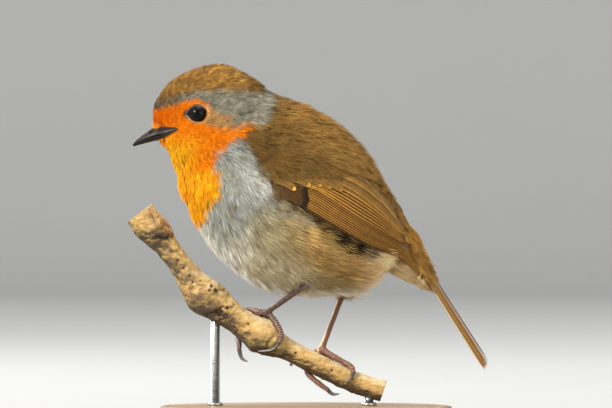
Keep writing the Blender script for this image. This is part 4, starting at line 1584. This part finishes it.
def swept(line, radii, sides):
    """A round-ended tube about a line of points in mm: points and quads, ends closed by small rings."""
    run = unit(np.gradient(line, axis=0))
    aside = np.cross(run, np.array([0.13, 0.97, 0.21]))
    for step in range(1, len(aside)):
        kept = aside[step - 1] - run[step] * (aside[step - 1] @ run[step])
        aside[step] = kept
    aside = unit(aside)
    other = np.cross(run, aside)
    turn = np.linspace(0, 2 * np.pi, sides, endpoint=False)
    ring = (np.cos(turn)[None, :, None] * aside[:, None, :] + np.sin(turn)[None, :, None] * other[:, None, :])
    rings = line[:, None, :] + ring * radii[:, None, None]
    for end, sense in ((0, -1), (-1, 1)):
        dome = []
        for angle in np.radians([30, 60, 88]):
            dome.append(line[end] + sense * run[end] * radii[end] * math.sin(angle)
                        + ring[end] * radii[end] * math.cos(angle))
        dome = np.array(dome if sense > 0 else dome[::-1])
        rings = np.concatenate([rings, dome] if sense > 0 else [dome, rings])
    return rings.reshape(-1, 3), ring_quads(len(rings), sides)


scale_skin, tree, shader, place = new_material("scale_skin")
grain_height = set_colour(tree, shader, tint_of(tree), place, 800.0, 5000.0, 0.45)
set_roughness(tree, shader, grain_height, (0.3, 0.30), (0.7, 0.46))
set_bump(tree, shader, grain_height, 0.4, 0.00006)
shader.inputs["Subsurface Weight"].default_value = 0.08
shader.inputs["Subsurface Scale"].default_value = 0.0006
shader.inputs["Subsurface Radius"].default_value = (1.0, 0.4, 0.25)
claw_horn, tree, shader, place = new_material("claw_horn")
grain_height = set_colour(tree, shader, tint_of(tree), place, 1200.0, 5000.0, 0.4)
set_roughness(tree, shader, grain_height, (0.3, 0.42), (0.7, 0.58))
shader.inputs["Coat Weight"].default_value = 0.1
set_bump(tree, shader, grain_height, 0.2, 0.00004)

LEG_BROWN = {"left": (0.060, 0.034, 0.029), "right": (0.15, 0.062, 0.030)}
LEG_LIGHT = (0.52, 0.29, 0.18)
LEG_DARK = (0.020, 0.010, 0.008)
SHANK_GLOW = (0.80, 0.50, 0.27)
CLAW_GREY = (0.055, 0.045, 0.040)
CLAW_TIP = (0.24, 0.22, 0.20)
for side, (hock, knuckle) in LEG_LINES.items():
    hock, knuckle = np.array(hock), np.array(knuckle)
    hock[1] += np.sign(hock[1]) * 1.1
    shank_run = unit(knuckle - hock)
    lines = []
    shank_share = np.linspace(-0.16, 1.0, 46)[:, None]
    bent = np.minimum(shank_share, 0) * -10
    tucked = np.array([0.4, -np.sign(hock[1]) * 4.6, 0.9])
    shank = hock + (knuckle - hock) * np.maximum(shank_share, 0) + tucked * bent
    shank_radius = 0.86 + 0.30 * hump(shank_share[:, 0], -0.05, 0.12)
    shank_radius += 0.22 * step_up(shank_share[:, 0], 0.82, 1.0)
    front = np.array([-1.0, 0, -0.2])
    front = unit(front - shank_run * (front @ shank_run))
    lines.append((shank, shank_radius, np.tile(front, (len(shank), 1)), *SHANK_PLATES))
    tubes = [swept(shank, shank_radius, 20)]
    ball = np.linspace(knuckle - shank_run * 0.2, knuckle + shank_run * 0.3, 4)
    tubes.append(swept(ball, np.full(4, 1.22), 20))
    for toe, rows in TOE_ROWS[side].items():
        bare = rows[:-2]
        knots, outs = [], []
        for number, (x, degrees, clear) in enumerate(bare):
            thick = TOE_RADIUS[0] + (TOE_RADIUS[1] - TOE_RADIUS[0]) * number / (len(bare) - 1)
            at, out = beside_branch(x, degrees, clear + thick)
            knots.append(at)
            outs.append(out)
        knots[0] = knots[0] * 0.4 + knuckle * 0.6
        share = np.linspace(0, 1, TOE_STEPS)
        line = spline(knots, share)
        outward = unit(spline(outs, share))
        joints = 0.07 * np.cos(share * 2 * np.pi * (2 if toe in ("hallux", "inner") else 3)) ** 2
        thick = TOE_RADIUS[0] + (TOE_RADIUS[1] - TOE_RADIUS[0]) * share
        thick = thick + joints - 0.12 * step_up(share, 0.93, 1.0)
        lines.append((line, thick, outward, *TOE_PLATES))
        tubes.append(swept(line, thick, 18))

        claw_knots, claw_outs = [], []
        for number, (x, degrees, clear) in enumerate(rows[-3:]):
            thick = CLAW_RADIUS[number]
            at, out = beside_branch(x, degrees, clear + thick)
            claw_knots.append(at)
            claw_outs.append(out)
        share = np.linspace(0, 1, CLAW_RINGS)
        claw_line = spline(claw_knots, share)
        claw_out = spline(claw_outs, share)
        claw_run = unit(np.gradient(claw_line, axis=0))
        claw_out = laid_flat(claw_out, claw_run)
        claw_line = claw_line + claw_out * (0.28 * np.sin(np.pi * share) ** 1.2)[:, None]
        claw_aside = np.cross(claw_run, claw_out)
        size = 0.76 * (1 - share) ** 0.46 + 0.03
        turn = np.linspace(0, 2 * np.pi, CLAW_SIDES, endpoint=False)
        ring = (claw_line[:, None, :] + size[:, None, None] * (
            0.74 * np.cos(turn)[None, :, None] * claw_aside[:, None, :]
            + (np.sin(turn) * (1 - 0.15 * (np.sin(turn) < 0)))[None, :, None] * claw_out[:, None, :]))
        ends = np.stack([claw_line[0], claw_line[-1] + claw_run[-1] * 0.1])
        claw = mesh_piece(f"claw_{toe}_{side}_horn", np.vstack([ring.reshape(-1, 3), ends]) * MM,
                          ring_quads(CLAW_RINGS, CLAW_SIDES), end_fans(CLAW_RINGS, CLAW_SIDES))
        outward_faces(claw)
        fade = np.concatenate([np.repeat(share, CLAW_SIDES), [0, 1]])
        paint(claw, blend(CLAW_GREY, CLAW_TIP, step_up(fade, 0.2, 0.9)))
        claw.data.materials.append(claw_horn)
        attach(claw, "root")
        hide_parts(f"claw_{toe}_{side}")

    points, quads, start = [], [], 0
    for tube_points, tube_quads in tubes:
        points.append(tube_points)
        quads.append(tube_quads + start)
        start += len(tube_points)
    leg = mesh_piece(f"leg_{side}", np.vstack(points) * MM, np.vstack(quads))
    ends = bmesh.new()
    ends.from_mesh(leg.data)
    bmesh.ops.holes_fill(ends, edges=ends.edges)
    ends.to_mesh(leg.data)
    ends.free()
    outward_faces(leg)
    apply_modifier(leg, "REMESH", mode="VOXEL", voxel_size=LEG_VOXEL * MM)
    apply_modifier(leg, "SMOOTH", factor=0.5, iterations=3)
    at = vertex_array(leg.data) / MM
    outward = vertex_array(leg.data, "normal")
    best = np.full(len(at), 1e9)
    scute_place = np.zeros(len(at))
    backness = np.zeros(len(at))
    scute_depth = np.zeros(len(at))
    for line, thick, dorsal, scute, depth_of in lines:
        run_length = np.concatenate([[0], np.cumsum(np.linalg.norm(np.diff(line, axis=0), axis=1))])
        gap = np.linalg.norm(at[:, None, :] - line[None, :, :], axis=2) - thick[None, :]
        nearest = gap.argmin(1)
        distance = gap[np.arange(len(at)), nearest]
        spoke = unit(at - line[nearest])
        closer = distance < best
        best = np.where(closer, distance, best)
        run = unit(np.gradient(line, axis=0))
        exact = run_length[nearest] + ((at - line[nearest]) * run[nearest]).sum(1)
        scute_place = np.where(closer, exact / scute, scute_place)
        backness = np.where(closer, (spoke * dorsal[nearest]).sum(1), backness)
        scute_depth = np.where(closer, depth_of, scute_depth)
    saw = scute_place - np.floor(scute_place)
    plate = np.clip(saw, 0, 1) ** 0.8 * (1 - step_up(saw, 0.84, 1.0))
    on_top = step_up(backness, -0.15, 0.35)
    granule = roughen(at, 3.2, 2)
    rise = scute_depth * (plate - 0.5 + 0.5 * granule) * on_top + 0.09 * granule * (1 - on_top)
    moved = at + outward * rise[:, None]
    leg.data.vertices.foreach_set("co", (moved * MM).astype(np.float32).ravel())
    on_toe = step_up(scute_depth, 0.15, 0.25)
    tone = blend(LEG_BROWN[side], LEG_LIGHT,
                 np.clip((0.15 + 0.75 * on_toe) * plate ** 2 * on_top * (1 + 1.2 * granule), 0, 1))
    tone = blend(tone, LEG_DARK, (1 - step_up(plate, 0.0, 0.35)) * on_top * (0.45 + 0.5 * on_toe))
    tone = blend(tone, LEG_LIGHT, 0.35 * (1 - on_top) * step_up(granule, 0.0, 0.5))
    tone = blend(tone, LEG_LIGHT, 0.6 * hump(backness, 0.1, 0.09) * (1 - on_toe))
    if side == "right":
        tone = blend(tone, SHANK_GLOW, 0.85 * step_up(backness, 0.15, 0.55) * (1 - on_toe))
    paint(leg, tone)
    leg.data.polygons.foreach_set("use_smooth", np.full(len(leg.data.polygons), True))
    leg.data.update()
    leg.data.materials.append(scale_skin)
    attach(leg, "root")
    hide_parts(f"tarsus_{side}", *[f"toe_{toe}_{side}" for toe in TOE_ROWS[side]])
    print(leg.name, len(leg.data.polygons))

# Loose feathers of the thigh that hang over the top of each bare leg.
for side, sign in SIDES:
    hock = np.array(LEG_LINES[side][0])
    count = 150
    spread_out = rng.normal(0, 1, (count, 3)) * np.array([1.3, 0.35, 0.9])
    spot = hock + np.array([2.0, sign * 0.4, 2.6]) + spread_out
    facing = np.tile(np.array([-0.1, sign * 1.0, -0.25]), (count, 1))
    hang = np.array([-0.62, 0.0, -0.72]) + rng.normal(0, 0.16, (count, 3))
    tint = plumage(spot) * rng.normal(0.92, 0.14, (count, 1))
    extra_tufts(f"coat_thigh_{side}", spot, facing, hang, rng.uniform(3.0, 4.4, count), 0.8, tint,
                np.stack([0.5 + spread_out[:, 0] / 12, 0.5 + spread_out[:, 2] / 12], -1), 10, 0.15, 0.25)

# ---- Floor and light ------------------------------------------------------------------------
# A plain pale floor under soft studio lamps. It is wide and round, and curves up at its far rim.
FLOOR_REACH = 3.8
FLOOR_CURVE = 0.8
floor_rows = [(0.3, 0.0), (1.2, 0.0), (FLOOR_REACH, 0.0)]
for step in range(1, 13):
    angle = math.radians(90 * step / 12)
    floor_rows.append((FLOOR_REACH + FLOOR_CURVE * math.sin(angle), FLOOR_CURVE * (1 - math.cos(angle))))
floor_rows.append((FLOOR_REACH + FLOOR_CURVE, 1.6))
FLOOR_SIDES = 96
turn = np.linspace(0, 2 * np.pi, FLOOR_SIDES, endpoint=False)
floor_points = [(r * math.cos(a), r * math.sin(a), z) for r, z in floor_rows for a in turn]
floor_points.append((0.0, 0.0, 0.0))
hub = [(len(floor_points) - 1, (k + 1) % FLOOR_SIDES, k) for k in range(FLOOR_SIDES)]
floor = mesh_piece("floor", floor_points, ring_quads(len(floor_rows), FLOOR_SIDES), hub)
floor.data.flip_normals()
floor_finish, tree, shader, place = new_material("floor_paper")
grain_height = set_colour(tree, shader, (0.35, 0.35, 0.34), place, 3.0, 400.0, 0.05)
shader.inputs["Roughness"].default_value = 0.85
floor.data.materials.append(floor_finish)


def lamp(name, place, target, size, power, colour):
    """A square soft lamp aimed at a point."""
    data = bpy.data.lights.new(name, "AREA")
    data.shape = "SQUARE"
    data.size = size
    data.energy = power
    data.color = colour
    made = bpy.data.objects.new(name, data)
    made.location = place
    made.rotation_euler = (Vector(target) - Vector(place)).to_track_quat("-Z", "Y").to_euler()
    bpy.context.scene.collection.objects.link(made)


BIRD_MIDDLE = (0.0, 0.0, 0.07)
lamp("key", (-3.2, -2.65, 2.8), BIRD_MIDDLE, 1.4, 320.0, (1.0, 0.965, 0.90))
lamp("top", (0.5, 0.5, 3.4), BIRD_MIDDLE, 2.0, 95.0, (0.96, 0.98, 1.0))
lamp("fill", (2.2, -2.4, 0.9), BIRD_MIDDLE, 1.8, 28.0, (0.94, 0.97, 1.0))
lamp("rim", (-0.9, 0.9, 0.8), BIRD_MIDDLE, 0.5, 14.0, (1.0, 0.98, 0.94))
world = bpy.data.worlds.new("studio")
bpy.context.scene.world = world
world.use_nodes = True
world.node_tree.nodes["Background"].inputs["Color"].default_value = (0.90, 0.92, 0.94, 1.0)
world.node_tree.nodes["Background"].inputs["Strength"].default_value = 0.8
